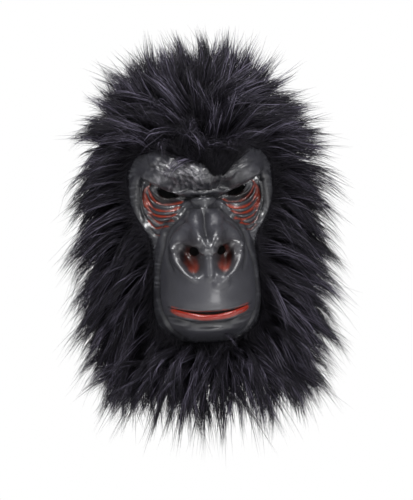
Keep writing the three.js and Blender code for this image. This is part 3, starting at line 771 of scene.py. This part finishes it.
def sculpt_and_paint(piece, hairline):
    """Moves the skin outwards by the strokes and paints where red lies and where painted shade and painted
    highlight streaks lie.
    """
    points = read_points(piece.data)
    normals = read_vectors(piece.data.vertex_normals, "vector")
    x, y, z = points.T
    top = hairline[0][np.argsort(hairline[0][:, 0])]
    front = (y < STROKES_BEFORE) & (z < np.interp(x, top[:, 0], top[:, 1])) & (z > face_z(STROKES_ABOVE))
    normals[front] = skin_normals(x[front], z[front])
    rise, red, crease, lip = (np.zeros(len(points)) for _ in range(4))
    push = np.zeros_like(points)
    for stroke in STROKES + brow_wrinkles():
        field = np.zeros(len(points))
        field[front] = stroke_field(x[front], z[front], stroke)
        if "way" in stroke:
            push += stroke["reach"] * field[:, None] * np.array(stroke["way"])
        else:
            rise += stroke["reach"] * field
        red = np.maximum(red, stroke["red"] * field)
        if stroke["reach"] < 0:
            crease = np.maximum(crease, field * min(1, -stroke["reach"] / DARK_DEPTH))
        if stroke.get("gloss"):
            lip = field
    write_points(piece.data, points + normals * rise[:, None] + push)
    under = points - normals * (WALL - np.minimum(rise, 0))[:, None]
    under[:, 1] += np.maximum(push[:, 1], 0)
    layer = piece.data.attributes.new("under", "FLOAT_VECTOR", "POINT")
    layer.data.foreach_set("vector", under.astype(np.float32).ravel())
    away, around = rim_places(points, hairline)
    side = np.abs(x)
    shading_patches = {}
    for shading in SHADING_PATCHES:
        across = (side - shading["middle"][0]) / shading["half_width"]
        up = (z - shading["middle"][1]) / shading["half_height"]
        shading_patches[shading["name"]] = np.where(front, hill(np.hypot(across, up)), 0)
    # painted shade: the right brow is made darker, as the key light falls from the left
    right_brow = shading_patches["brow"] * (x > 0)
    slope = np.where(x < 0, *STREAK_SLOPES)
    # painted shade: darker in the creases, in the sockets and along their outer sides
    dark = (crease * SHADING_STRENGTHS["crease"], shading_patches["socket"] * SHADING_STRENGTHS["socket"], shading_patches["outer"])
    layers = {
        "red_paint": red,
        "painted_shade": np.maximum.reduce((*dark, right_brow * SHADING_STRENGTHS["right_brow"])),
        "shade": np.maximum(shading_patches["eye"], SHADING_STRENGTHS["nostril"] * shading_patches["nostril"]),
        "lip_shine": lip,
        "brow_shine": np.maximum(shading_patches["brow"], SHADING_STRENGTHS["nose"] * shading_patches["nose"]),
        # painted highlight streaks over the brow, weaker on the right
        "highlight_streaks": shading_patches["brow"] * np.where(x < 0, 1.0, SHADING_STRENGTHS["right_highlight_streaks"]),
        "streak_side": (z - slope * x) / np.hypot(1, slope) * MM,
        "streak_along": (x + slope * z) / np.hypot(1, slope) * MM,
        "rim": np.where(front, hill(away / RIM_GRAIN), 0),
        "around": around * MM,
        "inward": away * MM,
    }
    for name, values in layers.items():
        paint(piece.data, name, values)


class Lens:
    """The outline of an opening between two arcs through its ends."""

    def __init__(self, middle, length, height, sag, slant):
        self.middle, self.length, self.height, self.sag, self.slant = middle, length, height, sag, slant

    def local(self, x, z):
        dx, dz = x - self.middle[0], z - self.middle[1]
        along = dx * math.cos(self.slant) + dz * math.sin(self.slant)
        off = -dx * math.sin(self.slant) + dz * math.cos(self.slant)
        share = np.clip(2 * along / self.length, -1, 1)
        return along, off - self.sag * share ** 2, share

    def inside(self, x, z):
        along, off, share = self.local(x, z)
        half = np.maximum(self.height / 2 * (1 - share ** 2), LEAST_SLIT)
        return (np.abs(off) < half) & (np.abs(along) < self.length / 2)

    def onto(self, x, z):
        """Moves points at the border straight onto the outline."""
        along, off, share = self.local(x, z)
        half = np.maximum(self.height / 2 * (1 - share ** 2), LEAST_SLIT / 4)
        move = np.where(np.abs(along) < self.length / 2 + SLIT_END, np.sign(off) * half - off, 0)
        return x - move * math.sin(self.slant), z + move * math.cos(self.slant)


class Round:
    """The outline of a round opening."""

    def __init__(self, middle, diameter):
        self.middle, self.radius = middle, diameter / 2

    def inside(self, x, z):
        return np.hypot(x - self.middle[0], z - self.middle[1]) < self.radius

    def onto(self, x, z):
        dx, dz = x - self.middle[0], z - self.middle[1]
        scale = self.radius / np.hypot(dx, dz)
        return self.middle[0] + dx * scale, self.middle[1] + dz * scale


def openings():
    shapes = [Lens((0.0, MOUTH_Z), MOUTH_WIDTH, MOUTH_GAP, MOUTH_SAG, 0.0)]
    for side in (-1, 1):
        eye = (side * EYE_PLACE[0], EYE_PLACE[1])
        shapes.append(Lens(eye, EYE_LENGTH, EYE_HEIGHT, 0.0, side * EYE_SLANT))
        shapes.append(Round((side * NOSTRIL_PLACE[0], NOSTRIL_PLACE[1]), NOSTRIL_HOLE))
    return shapes


def select_points(piece, chosen):
    """Goes into edit mode with just these points selected."""
    make_active(piece)
    edit()
    bpy.ops.mesh.select_mode(type="VERT")
    bpy.ops.mesh.select_all(action="DESELECT")
    stop_editing()
    piece.data.vertices.foreach_set("select", chosen)
    edit()


def cut_openings(piece):
    """Takes out the faces inside each outline and moves the border onto it."""
    for shape in openings():
        points = read_points(piece.data)
        inside = shape.inside(points[:, 0], points[:, 2]) & (points[:, 1] < FACE_DEPTH)
        select_points(piece, inside)
        bpy.ops.mesh.select_more()
        stop_editing()
        near = np.empty(len(points), bool)
        piece.data.vertices.foreach_get("select", near)
        border = near & ~inside
        across, up = shape.onto(points[border, 0], points[border, 2])
        points[border] = with_relief(face_points(across, up))
        write_points(piece.data, points)
        select_points(piece, inside)
        bpy.ops.mesh.delete(type="VERT")
        stop_editing()
        select_points(piece, border[~inside])
        bpy.ops.mesh.remove_doubles(threshold=SAME_POINT)
        stop_editing()


def soften_groove(piece):
    """Rounds the bottom of the groove down the middle of the nose."""
    x, y, z = read_points(piece.data).T
    along = (z < GROOVE["top"]) & (z > GROOVE["bottom"])
    select_points(piece, along & (np.abs(x) < GROOVE["half_width"]) & (y < FACE_DEPTH))
    bpy.ops.mesh.vertices_smooth(factor=0.5, repeat=GROOVE["rounds"])
    stop_editing()


def latex_skin(painted, raw):
    hairline = hairline_edges(FACE_COLUMNS, FACE_ROWS)
    piece, border = make_sheet(hairline)
    extend_to_hem(piece, border)
    cut_openings(piece)
    sculpt_and_paint(piece, hairline)
    soften_groove(piece)
    hem = read_points(piece.data)[:, 2] < HEM_Z + SAME_POINT
    under = read_vectors(piece.data.attributes["under"].data, "vector")
    under[hem, 2] = HEM_Z
    write_points(piece.data, read_points(piece.data) * MM)
    piece.data.materials.append(painted)
    piece.data.materials.append(raw)
    make_active(piece)
    wall = piece.modifiers.new("wall", "SOLIDIFY")
    wall.thickness = WALL * MM
    wall.offset = -1
    wall.material_offset = 1
    bpy.ops.object.modifier_apply(modifier=wall.name)
    points = read_points(piece.data)
    points[len(under):] = under * MM
    write_points(piece.data, points)
    piece.data.attributes.remove(piece.data.attributes["under"])
    bpy.ops.object.shade_smooth()
    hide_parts("latex_shell")
    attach(piece, "root")


# Fur

def panel_grid(panel, edges):
    """Points, normals and flow over a panel, by its lines and by rows along them."""
    edge = edges[panel["edge"]]
    shares = np.linspace(panel["from"], panel["to"], EDGE_LINES + 1)
    starts = places_on(edge, np.arange(len(edge)), shares * (len(edge) - 1))
    bare = flow_lines(starts, FLOW_STEPS)
    first = int(round(panel["start"] * FLOW_STEPS))
    last = int(round(panel["end"] * FLOW_STEPS))
    flow = unit(np.gradient(bare, axis=1))[:, first:last + 1]
    bare = bare[:, first:last + 1]
    return with_relief(bare), head_normals(bare), flow


def scatter(grid, count, rng, at_hem):
    """Places spread over a panel, thicker towards the hem, with the normal and flow at each."""
    points, normals, flow = grid
    sides = np.cross(points[1:, :-1] - points[:-1, :-1], points[:-1, 1:] - points[:-1, :-1])
    areas = np.linalg.norm(sides, axis=-1)
    if at_hem:
        areas = areas * (1 + HEM_DENSITY * np.linspace(0, 1, areas.shape[1]) ** HEM_ONLY)
    cells = rng.choice(areas.size, size=count, p=(areas / areas.sum()).ravel())
    i, j = np.unravel_index(cells, areas.shape)
    u, v = rng.random((2, count, 1))
    blended = []
    for field in (points, normals, flow):
        near = field[i, j] * (1 - u) + field[i + 1, j] * u
        far = field[i, j + 1] * (1 - u) + field[i + 1, j + 1] * u
        blended.append(near * (1 - v) + far * v)
    return blended[0], unit(blended[1]), unit(blended[2])


def pile_column(key, z):
    drops = [row["drop"] for row in PILE]
    return np.interp((CROWN_Z - z) / SHELL_HEIGHT, drops, [row[key] for row in PILE])


def drift(points):
    """A smooth random push at each place, alike for places close together."""
    rng = np.random.default_rng(5)
    total = np.zeros_like(points)
    for _ in range(DRIFT_WAVES):
        wave = rng.normal(0, 1, (3, 3)) * 2 * math.pi / DRIFT_LENGTH
        total += np.sin(points @ wave + rng.uniform(0, 2 * math.pi, 3))
    return total / math.sqrt(DRIFT_WAVES)


def brushed(points):
    total = np.zeros_like(points)
    for place in BRUSHED:
        away = np.linalg.norm(points - np.array(place["middle"]), axis=1)
        total += hill(away / place["round"])[:, None] * np.array(place["way"])
    return total


def lock_curves(roots, normals, flow, rng):
    """The middle line of each lock from its root, as points at even shares of its length."""
    z = roots[:, 2]
    low = fade(z - HEM_Z, 0, HEM_SIDES["above"])
    corner = 1 - fade(np.abs(roots[:, 0]), HEM_SIDES["middle"], HEM_SIDES["out"])
    length = pile_column("length", z) * rng.uniform(*LOCKS["length"], len(roots))
    high = fade(CROWN_Z - z, TOP_SIDES["full"], TOP_SIDES["end"])
    shoulder = 1 - fade(np.abs(roots[:, 0]), TOP_SIDES["middle"], TOP_SIDES["out"])
    length *= (1 - HEM_SIDES["shorter"] * low * corner) * (1 - TOP_SIDES["shorter"] * high * shoulder)
    length *= 1 + LOCKS["longer_right"] * np.tanh(roots[:, 0] / LOCKS["right_from"])
    wander = LOCKS["wander"] * (1 + low[:, None])
    swirl = wander * rng.normal(0, 1, (len(roots), 3)) + LOCKS["drift"] * drift(roots) + brushed(roots)
    bow = wander * rng.normal(0, 1, (len(roots), 3))
    lift, lay, sag = (pile_column(key, z)[:, None] for key in ("lift", "lay", "sag"))
    down = np.array((0.0, 0.0, -1.0))
    points = [roots]
    for n in range(LOCKS["steps"]):
        u = (n + 0.5) / LOCKS["steps"]
        rising = LOCKS["lift_root"] + u * (LOCKS["lift_tip"] - LOCKS["lift_root"])
        falling = LOCKS["sag_root"] + u * (LOCKS["sag_tip"] - LOCKS["sag_root"])
        heading = normals * lift * rising + flow * lay + down * sag * falling
        heading = heading + swirl + bow * (u - 0.5)
        points.append(points[-1] + unit(heading) * (length / LOCKS["steps"])[:, None])
    return np.stack(points, axis=1)


def trimmed(bend):
    """Shortens the strands that would reach too far past the solids' box."""
    low, high = np.array(SOLIDS_BOX) / MM
    margin = TRIM["share"] * (high - low) + TRIM["reach"]
    root = bend[:, :1]
    out = bend - root
    room = np.where(out > 0, high + margin - root, root - low + margin)
    share = (room / np.maximum(np.abs(out), LEAST)).min(axis=(1, 2))
    return root + out * np.minimum(1, share)[:, None, None]


def strand_mesh(name, bend, radii, normals):
    """Three-sided tapering strands as one mesh. bend is each strand's points at STRAND_RINGS and the tip."""
    count, rings = len(bend), len(STRAND_RINGS)
    tangents = unit(np.diff(bend, axis=1))
    side = unit(np.cross(tangents[:, 0], normals) + 1e-6)
    other = unit(np.cross(tangents[:, 0], side))
    corners = []
    for k in range(3):
        angle = 2 * math.pi * k / 3
        corners.append(math.cos(angle) * side + math.sin(angle) * other)
    corners = np.stack(corners, axis=1)
    taper = np.array([1.0 - STRAND["tip"] * share for share in STRAND_RINGS])
    body = bend[:, :rings, None] + corners[:, None] * (radii[:, None] * taper)[..., None, None]
    points = np.concatenate((body.reshape(count, rings * 3, 3), bend[:, -1:]), axis=1)
    faces = [(0, 2, 1, -1)]
    for ring in range(rings - 1):
        for k in range(3):
            a, b = ring * 3 + k, ring * 3 + (k + 1) % 3
            faces.append((a, b, b + 3, a + 3))
    tip = rings * 3
    for k in range(3):
        a, b = (rings - 1) * 3 + k, (rings - 1) * 3 + (k + 1) % 3
        faces.append((a, b, tip, -1))
    sizes = np.array([3 if face[3] < 0 else 4 for face in faces])
    flat = np.concatenate([np.array(face[:size]) for face, size in zip(faces, sizes)])
    per = points.shape[1]
    loops = (flat[None] + per * np.arange(count)[:, None]).ravel()
    mesh = bpy.data.meshes.new(name)
    mesh.vertices.add(count * per)
    mesh.vertices.foreach_set("co", (points * MM).astype(np.float32).ravel())
    mesh.loops.add(len(loops))
    mesh.loops.foreach_set("vertex_index", loops)
    starts = np.concatenate(([0], np.cumsum(np.tile(sizes, count))[:-1]))
    mesh.polygons.add(count * len(faces))
    mesh.polygons.foreach_set("loop_start", starts)
    mesh.update(calc_edges=True)
    along = np.concatenate((np.repeat(STRAND_RINGS, 3), [1.0]))
    paint(mesh, "along", np.tile(along, count))
    return mesh, per


def grow_pile(panel, grid, rng):
    """Strands over a panel, drawn together into locks."""
    count = panel["strands"]
    at_hem = panel["end"] == 1
    roots, normals, _ = scatter(grid, count, rng, at_hem)
    locks = scatter(grid, count // LOCKS["strands"], rng, at_hem)
    curves = lock_curves(*locks, rng)
    lock = find_nearest(locks[0], roots)[1]
    shares = np.array((*STRAND_RINGS, 1.0))
    is_long = rng.random(count) < REACHES["long_share"]
    reach = np.where(is_long, rng.uniform(*REACHES["long"], count), rng.uniform(*REACHES["short"], count))
    is_wisp = rng.random(count) < WISPS["share"]
    reach = np.where(is_wisp, rng.uniform(*WISPS["reach"], count), reach)
    at = shares[None] * reach[:, None] * LOCKS["steps"]
    step = np.minimum(at.astype(int), LOCKS["steps"] - 1)
    part = (at - step)[..., None]
    middle = curves[lock[:, None], step] * (1 - part) + curves[lock[:, None], step + 1] * part
    offset = roots - locks[0][lock]
    pull = pile_column("pull", roots[:, 2]) * rng.uniform(*DRAWN["pull"], count)
    spread = 1 - pull[:, None] * shares[None] ** DRAWN["from"]
    loose = np.where(rng.random(count) < STRAYS["share"], STRAYS["far"], STRAYS["near"])[:, None, None]
    stray = rng.normal(0, 1, (count, 1, 3)) * loose * shares[None, :, None] ** STRAYS["from"]
    stray = stray + rng.normal(0, STRAYS["kink"], (count, len(shares), 3)) * shares[None, :, None]
    bend = middle + offset[:, None] * spread[..., None] + stray
    radii = STRAND["radius"] * rng.uniform(*STRAND["thickness"], count)
    tone = TONES["lock"] * rng.uniform(0, 1, len(curves))[lock] + TONES["strand"] * rng.uniform(0, 1, count)
    tone = tone + TONES["bright"] * (rng.random(count) < TONES["bright_share"])
    return bend, radii, normals, tone


def short_strands(root, normal, heading, kind, rng):
    """Short strands of the hairline or the peak, bowed towards their tips."""
    count = len(root)
    length = rng.uniform(*kind["length"], (count, 1))
    curve = [root]
    for share, step in zip(kind["bow_shares"], np.diff((*STRAND_RINGS, 1.0))):
        curve.append(curve[-1] + unit(heading + np.array(kind["bow"]) * share) * length * step)
    radii = STRAND["radius"] * rng.uniform(*kind["thickness"], count)
    return np.stack(curve, axis=1), radii, normal, rng.uniform(0, kind["tone"], count)


def grow_hairline(panel, grid, rng):
    """Short strands along a panel's edge at the face, that hide where the latex ends."""
    points, normals, flow = (field[:, 0] for field in grid)
    lengths = lengths_along(points)
    count = int(lengths[-1] * HAIRLINE["strands"]) if panel["start"] == 0 else 0
    where = rng.uniform(0, lengths[-1], count)
    root, normal, way = (places_on(field, lengths, where) for field in (points, normals, flow))
    normal, way = unit(normal), unit(way)
    root = root + way * rng.uniform(-HAIRLINE["band"], HAIRLINE["band"], (count, 1))
    front = root[:, 1] < 0
    root[front] = with_relief(face_points(root[front, 0], root[front, 2]))
    heading = way + unit(np.cross(normal, way)) * rng.normal(0, HAIRLINE["turn"], (count, 1))
    heading = heading + normal * rng.uniform(*HAIRLINE["lift"], (count, 1))
    return short_strands(root, normal, heading, HAIRLINE, rng)


def grow_peak(rng):
    """The tuft that comes down over the middle of the brow."""
    down = rng.uniform(0, 1, PEAK["strands"])
    half_width = PEAK["half_width"] * (1 - PEAK["narrower"] * down)
    across = PEAK["middle"] + rng.uniform(-1, 1, len(down)) * half_width
    place = face_points(across, PEAK["top"] + down * (PEAK["tip"] - PEAK["top"]))
    outwards, up = PEAK["way"]
    heading = np.stack((across * PEAK["fan"], np.full(len(down), outwards), np.full(len(down), up)), axis=-1)
    heading = heading + rng.normal(0, PEAK["turn"], heading.shape)
    return short_strands(with_relief(place), head_normals(place), heading, PEAK, rng)


def pile_mesh(panel, grid, rng):
    grown = [grow_pile(panel, grid, rng), grow_hairline(panel, grid, rng)]
    if panel["name"] == "crown_fur":
        grown.append(grow_peak(rng))
    bend, radii, normals, tone = (np.concatenate(fields) for fields in zip(*grown))
    mesh, per = strand_mesh(panel["name"], trimmed(bend), radii, normals)
    paint(mesh, "tone", np.repeat(tone, per))
    return mesh


def backing_mesh(panel, grid):
    """The fabric that a panel's pile grows from, as a thin closed slab over the latex."""
    points, normals, _ = grid
    down = np.linspace(0, points.shape[1] - 1, BACKING_ROWS + 1).round().astype(int)
    across = np.linspace(0, points.shape[0] - 1, BACKING_COLUMNS + 1).round().astype(int)
    p = points[np.ix_(across, down)]
    n = normals[np.ix_(across, down)]
    layers = [p + n * CLEARANCE, p + n * (CLEARANCE + BACKING)]
    shape = p.shape[:2]
    index = np.arange(shape[0] * shape[1]).reshape(shape)
    faces = []
    top = index + index.size
    for i in range(shape[0] - 1):
        for j in range(shape[1] - 1):
            faces.append((index[i, j], index[i, j + 1], index[i + 1, j + 1], index[i + 1, j]))
            faces.append((top[i, j], top[i + 1, j], top[i + 1, j + 1], top[i, j + 1]))
    border = [*index[:, 0], *index[-1, 1:], *index[-2::-1, -1], *index[0, -2:0:-1]]
    for a, b in zip(border, [*border[1:], border[0]]):
        faces.append((a, b, b + index.size, a + index.size))
    mesh = bpy.data.meshes.new(panel["name"] + "_backing")
    mesh.from_pydata(np.concatenate([layer.reshape(-1, 3) for layer in layers]) * MM, [], faces)
    paint(mesh, "along", np.zeros(len(mesh.vertices)))
    paint(mesh, "tone", np.zeros(len(mesh.vertices)))
    return mesh


def fur_panel(panel, edges, material, seed):
    rng = np.random.default_rng(seed)
    grid = panel_grid(panel, edges)
    deselect()
    parts = []
    for mesh in (backing_mesh(panel, grid), pile_mesh(panel, grid, rng)):
        mesh.materials.append(material)
        part = bpy.data.objects.new(mesh.name, mesh)
        bpy.context.collection.objects.link(part)
        part.select_set(True)
        parts.append(part)
    bpy.context.view_layer.objects.active = parts[0]
    bpy.ops.object.join()
    piece = bpy.context.object
    piece.name = panel["name"].replace("_fur", "_pile")
    bpy.ops.object.shade_smooth()
    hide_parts(panel["name"])
    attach(piece, "root")


# Materials

class Wire:
    """A socket that can be added to, multiplied and so on."""

    def __init__(self, tree, socket):
        self.tree = tree
        self.socket = socket

    def _math(self, operation, first, second):
        node = self.tree.nodes.new("ShaderNodeMath")
        node.operation = operation
        for slot, value in zip(node.inputs, (first, second)):
            if isinstance(value, Wire):
                self.tree.links.new(value.socket, slot)
            else:
                slot.default_value = value
        return Wire(self.tree, node.outputs[0])

    def __add__(self, other):
        return self._math("ADD", self, other)

    __radd__ = __add__

    def __sub__(self, other):
        return self._math("SUBTRACT", self, other)

    def __rsub__(self, other):
        return self._math("SUBTRACT", other, self)

    def __mul__(self, other):
        return self._math("MULTIPLY", self, other)

    __rmul__ = __mul__

    def clamped(self):
        return self._math("MINIMUM", self._math("MAXIMUM", self, 0.0), 1.0)


class Paint:
    """A material and the nodes that are laid in it."""

    def __init__(self, name):
        self.material = bpy.data.materials.new(name)
        self.material.use_nodes = True
        self.tree = self.material.node_tree
        self.shader = self.tree.nodes["Principled BSDF"]

    def node(self, kind, settings=None, output=0, **sockets):
        node = self.tree.nodes.new(kind)
        for key, value in (settings or {}).items():
            setattr(node, key, value)
        for key, value in sockets.items():
            slot = node.inputs[int(key[1:])] if key[0] == "_" else node.inputs[key]
            self.feed(slot, value)
        return Wire(self.tree, node.outputs[output])

    def feed(self, slot, value):
        if isinstance(value, Wire):
            self.tree.links.new(value.socket, slot)
        else:
            slot.default_value = value

    def set(self, **sockets):
        for key, value in sockets.items():
            self.feed(self.shader.inputs[key.replace("_", " ")], value)

    def layer(self, name):
        return self.node("ShaderNodeAttribute", {"attribute_name": name}, output=2)

    def place(self):
        return self.node("ShaderNodeTexCoord", output=3)

    def noise(self, scale, detail=3.0, roughness=0.55, vector=None, stretch=None):
        vector = vector or self.place()
        if stretch:
            vector = self.node("ShaderNodeMapping", _0=vector, Scale=stretch)
        return self.node("ShaderNodeTexNoise", Vector=vector, Scale=scale, Detail=detail, Roughness=roughness)

    def mix(self, share, first, second):
        node = self.tree.nodes.new("ShaderNodeMix")
        node.data_type = "RGBA"
        self.feed(node.inputs[0], share)
        self.feed(node.inputs[6], first if isinstance(first, Wire) else (*first, 1.0))
        self.feed(node.inputs[7], second if isinstance(second, Wire) else (*second, 1.0))
        return Wire(self.tree, node.outputs[2])

    def bump(self, height, strength, distance):
        node = self.tree.nodes.new("ShaderNodeBump")
        self.feed(node.inputs["Height"], height)
        node.inputs["Strength"].default_value = strength
        node.inputs["Distance"].default_value = distance
        return Wire(self.tree, node.outputs[0])


# Colours of the finishes: each pair is the darkest and the lightest of a mottled colour
GREY = ((0.0095, 0.0096, 0.0120), (0.031, 0.031, 0.038))
RIM_GREY = (0.005, 0.005, 0.0062)
GRAIN_GREY = (0.085, 0.087, 0.098)
# painted highlight: light streaks on the brow that stand in for its glossy highlights
PAINTED_HIGHLIGHT_GREY = (0.19, 0.182, 0.2)
# painted shade: near black laid in the creases, the sockets and on the right brow
PAINTED_SHADE_BLACK = (0.0018, 0.0018, 0.0026)
RED = ((0.07, 0.0042, 0.0014), (0.225, 0.0235, 0.0055))
LIP_RED = (0.15, 0.0024, 0.0009)
SHADE_BROWN = (0.0045, 0.0008, 0.0006)
BARE_LATEX = ((0.012, 0.012, 0.013), (0.022, 0.021, 0.022))
PILE_BLACK = ((0.0028, 0.0025, 0.0036), (0.0195, 0.0175, 0.025))
# painted highlight: the light tint on the tips of the bright strands, standing in for the fur's shine
PAINTED_PILE_HIGHLIGHT = (0.135, 0.122, 0.172)
FLOOR_WHITE = ((0.86, 0.86, 0.86), (0.9, 0.9, 0.9))


def painted_latex():
    skin = Paint("painted_latex")
    cloud = skin.noise(24.0, 4.0)
    patches = skin.noise(85.0, 3.0, 0.6)
    speckle = skin.noise(420.0, 3.0, 0.6)
    pores = skin.noise(900.0, 3.0, 0.6)
    creases = skin.noise(240.0, 4.0, 0.6, stretch=(1.0, 1.0, 2.2))
    rim = skin.layer("rim")
    brow = skin.layer("brow_shine")
    highlight_streaks = skin.layer("highlight_streaks")
    shine = skin.layer("lip_shine")
    shading = skin.layer("painted_shade")
    along_rim = skin.node("ShaderNodeCombineXYZ", X=skin.layer("around"), Y=skin.layer("inward") * 0.25)
    grain = ((skin.noise(480.0, 3.0, 0.65, vector=along_rim) - 0.48) * 5.0).clamped()
    along_streak = skin.node(
        "ShaderNodeCombineXYZ", X=skin.layer("streak_side"), Y=skin.layer("streak_along") * 0.3
    )
    streak = ((skin.noise(430.0, 3.0, 0.6, vector=along_streak) - 0.47) * 5.0).clamped()
    red = skin.layer("red_paint") * (1.9 * patches - 0.15 + shine)
    grey = skin.mix(cloud, *GREY)
    grey = skin.mix((rim * 0.6).clamped(), grey, RIM_GREY)
    grey = skin.mix((rim * grain * 0.6).clamped(), grey, GRAIN_GREY)
    # painted highlight streaks on the brow
    grey = skin.mix((highlight_streaks * streak).clamped(), grey, PAINTED_HIGHLIGHT_GREY)
    # painted shade over the creases, the sockets and the right brow
    shaded_grey = skin.mix((shading * 0.95).clamped(), grey, PAINTED_SHADE_BLACK)
    paint = skin.mix(speckle, *RED)
    paint = skin.mix(shine * (1.2 - patches), paint, LIP_RED)
    coloured = skin.mix(((red - 0.3) * 2.6).clamped(), shaded_grey, paint)
    shade = (skin.layer("shade") * (0.8 + 0.9 * patches)).clamped()
    height = pores * 0.25 + creases * (0.5 + brow) + grain * rim * 0.6 + streak * highlight_streaks * 1.3
    skin.set(
        Base_Color=skin.mix(shade, coloured, SHADE_BROWN),
        Roughness=(0.3 + 0.18 * cloud - 0.24 * shine - 0.08 * brow + 0.1 * shade).clamped(),
        Normal=skin.bump(height, 0.4, 0.0012),
        Specular_IOR_Level=0.42,
        Coat_Weight=0.3 * (1.0 - 0.8 * shine),
        Coat_Roughness=0.16,
    )
    return skin.material


def raw_latex():
    inside = Paint("raw_latex")
    cloud = inside.noise(40.0, 3.0)
    inside.set(
        Base_Color=inside.mix(cloud, *BARE_LATEX),
        Roughness=0.6 + 0.2 * cloud,
        Normal=inside.bump(inside.noise(300.0), 0.3, 0.001),
    )
    return inside.material


def black_pile():
    fur = Paint("black_pile")
    along = fur.layer("along")
    tone = fur.layer("tone")
    cloud = fur.noise(18.0, 2.0)
    dark = fur.mix(tone, *PILE_BLACK)
    # painted highlight: bright strands get a light tint towards their tips
    bright = ((tone - 0.6) * 4.0).clamped()
    highlighted = fur.mix((along * 1.6).clamped() * bright * (0.45 + cloud), dark, PAINTED_PILE_HIGHLIGHT)
    fur.set(
        Base_Color=highlighted,
        Roughness=(0.75 - 1.3 * along).clamped() + 0.35 + 0.1 * cloud,
        Specular_IOR_Level=0.12,
        Normal=fur.bump(fur.noise(2500.0, 2.0), 0.15, 0.0003),
    )
    return fur.material


def pale_floor():
    floor = Paint("pale_floor")
    cloud = floor.noise(3.0)
    floor.set(Base_Color=floor.mix(cloud, *FLOOR_WHITE), Roughness=0.9)
    return floor.material


# Surroundings

FLOOR_Z = -0.9
FLOOR_SIZE = 6
CAMERA_DISTANCE = 2.2
CAMERA_AZIMUTH = math.radians(-3)
CAMERA_ROLL = math.radians(3)
CAMERA_TARGET = Vector((0.0002, -0.11, -0.171))
SCALE_AT_TARGET = 0.00096  # metres for a pixel of the photograph
PHOTO_HEIGHT = 500
SENSOR_HEIGHT = 24
SURROUND_LIGHT = 0.22
LAMP_TARGET = Vector((0, 0, -0.15))
LAMPS = rows(
    "name place size power",
    ("key_light", (-0.9, -1.5, 0.9), 0.4, 44),
    ("fill_light", (1.2, -1.3, 0.5), 0.45, 26),
    ("top_light", (0.1, -0.3, 1.4), 0.8, 30),
    ("low_light", (0.35, -1.6, -0.6), 0.5, 9),
)


def add_floor():
    deselect()
    bpy.ops.mesh.primitive_plane_add(size=FLOOR_SIZE, location=(0, 0, FLOOR_Z))
    floor = bpy.context.object
    floor.name = "floor"
    bpy.ops.object.transform_apply()
    floor.data.materials.append(pale_floor())


def add_lamp(name, place, size, power):
    data = bpy.data.lights.new(name, "AREA")
    data.size = size
    data.energy = power
    lamp = bpy.data.objects.new(name, data)
    bpy.context.collection.objects.link(lamp)
    lamp.location = place
    lamp.rotation_euler = (LAMP_TARGET - Vector(place)).to_track_quat("-Z", "Y").to_euler()


def add_lights():
    """A white surround that the camera sees at full strength and the mask is lit by more softly."""
    world = bpy.data.worlds.new("studio")
    bpy.context.scene.world = world
    world.use_nodes = True
    tree = world.node_tree
    seen = Wire(tree, tree.nodes.new("ShaderNodeLightPath").outputs["Is Camera Ray"])
    tree.links.new((SURROUND_LIGHT + (1 - SURROUND_LIGHT) * seen).socket, tree.nodes["Background"].inputs[1])
    tree.nodes["Background"].inputs[0].default_value = (1, 1, 1, 1)
    for lamp in LAMPS:
        add_lamp(**lamp)


def add_camera():
    data = bpy.data.cameras.new("camera")
    camera = bpy.data.objects.new("camera", data)
    bpy.context.collection.objects.link(camera)
    away = Vector((math.sin(CAMERA_AZIMUTH), -math.cos(CAMERA_AZIMUTH), 0))
    camera.location = CAMERA_TARGET + away * CAMERA_DISTANCE
    turn = (-away).to_track_quat("-Z", "Y").to_matrix().to_4x4()
    roll = Matrix.Rotation(-CAMERA_ROLL, 4, "Z")
    camera.rotation_euler = (turn @ roll).to_euler()
    data.sensor_fit = "VERTICAL"
    data.sensor_height = SENSOR_HEIGHT
    data.lens = SENSOR_HEIGHT * CAMERA_DISTANCE / (PHOTO_HEIGHT * SCALE_AT_TARGET)
    bpy.context.scene.camera = camera
    bpy.context.scene.view_settings.view_transform = "Standard"


latex_skin(painted_latex(), raw_latex())
pile = black_pile()
hairline = hairline_edges(FACE_COLUMNS, FACE_ROWS)
for seed, panel in enumerate(FUR_PANELS, start=11):
    fur_panel(panel, hairline, pile, seed)
add_floor()
add_lights()
add_camera()
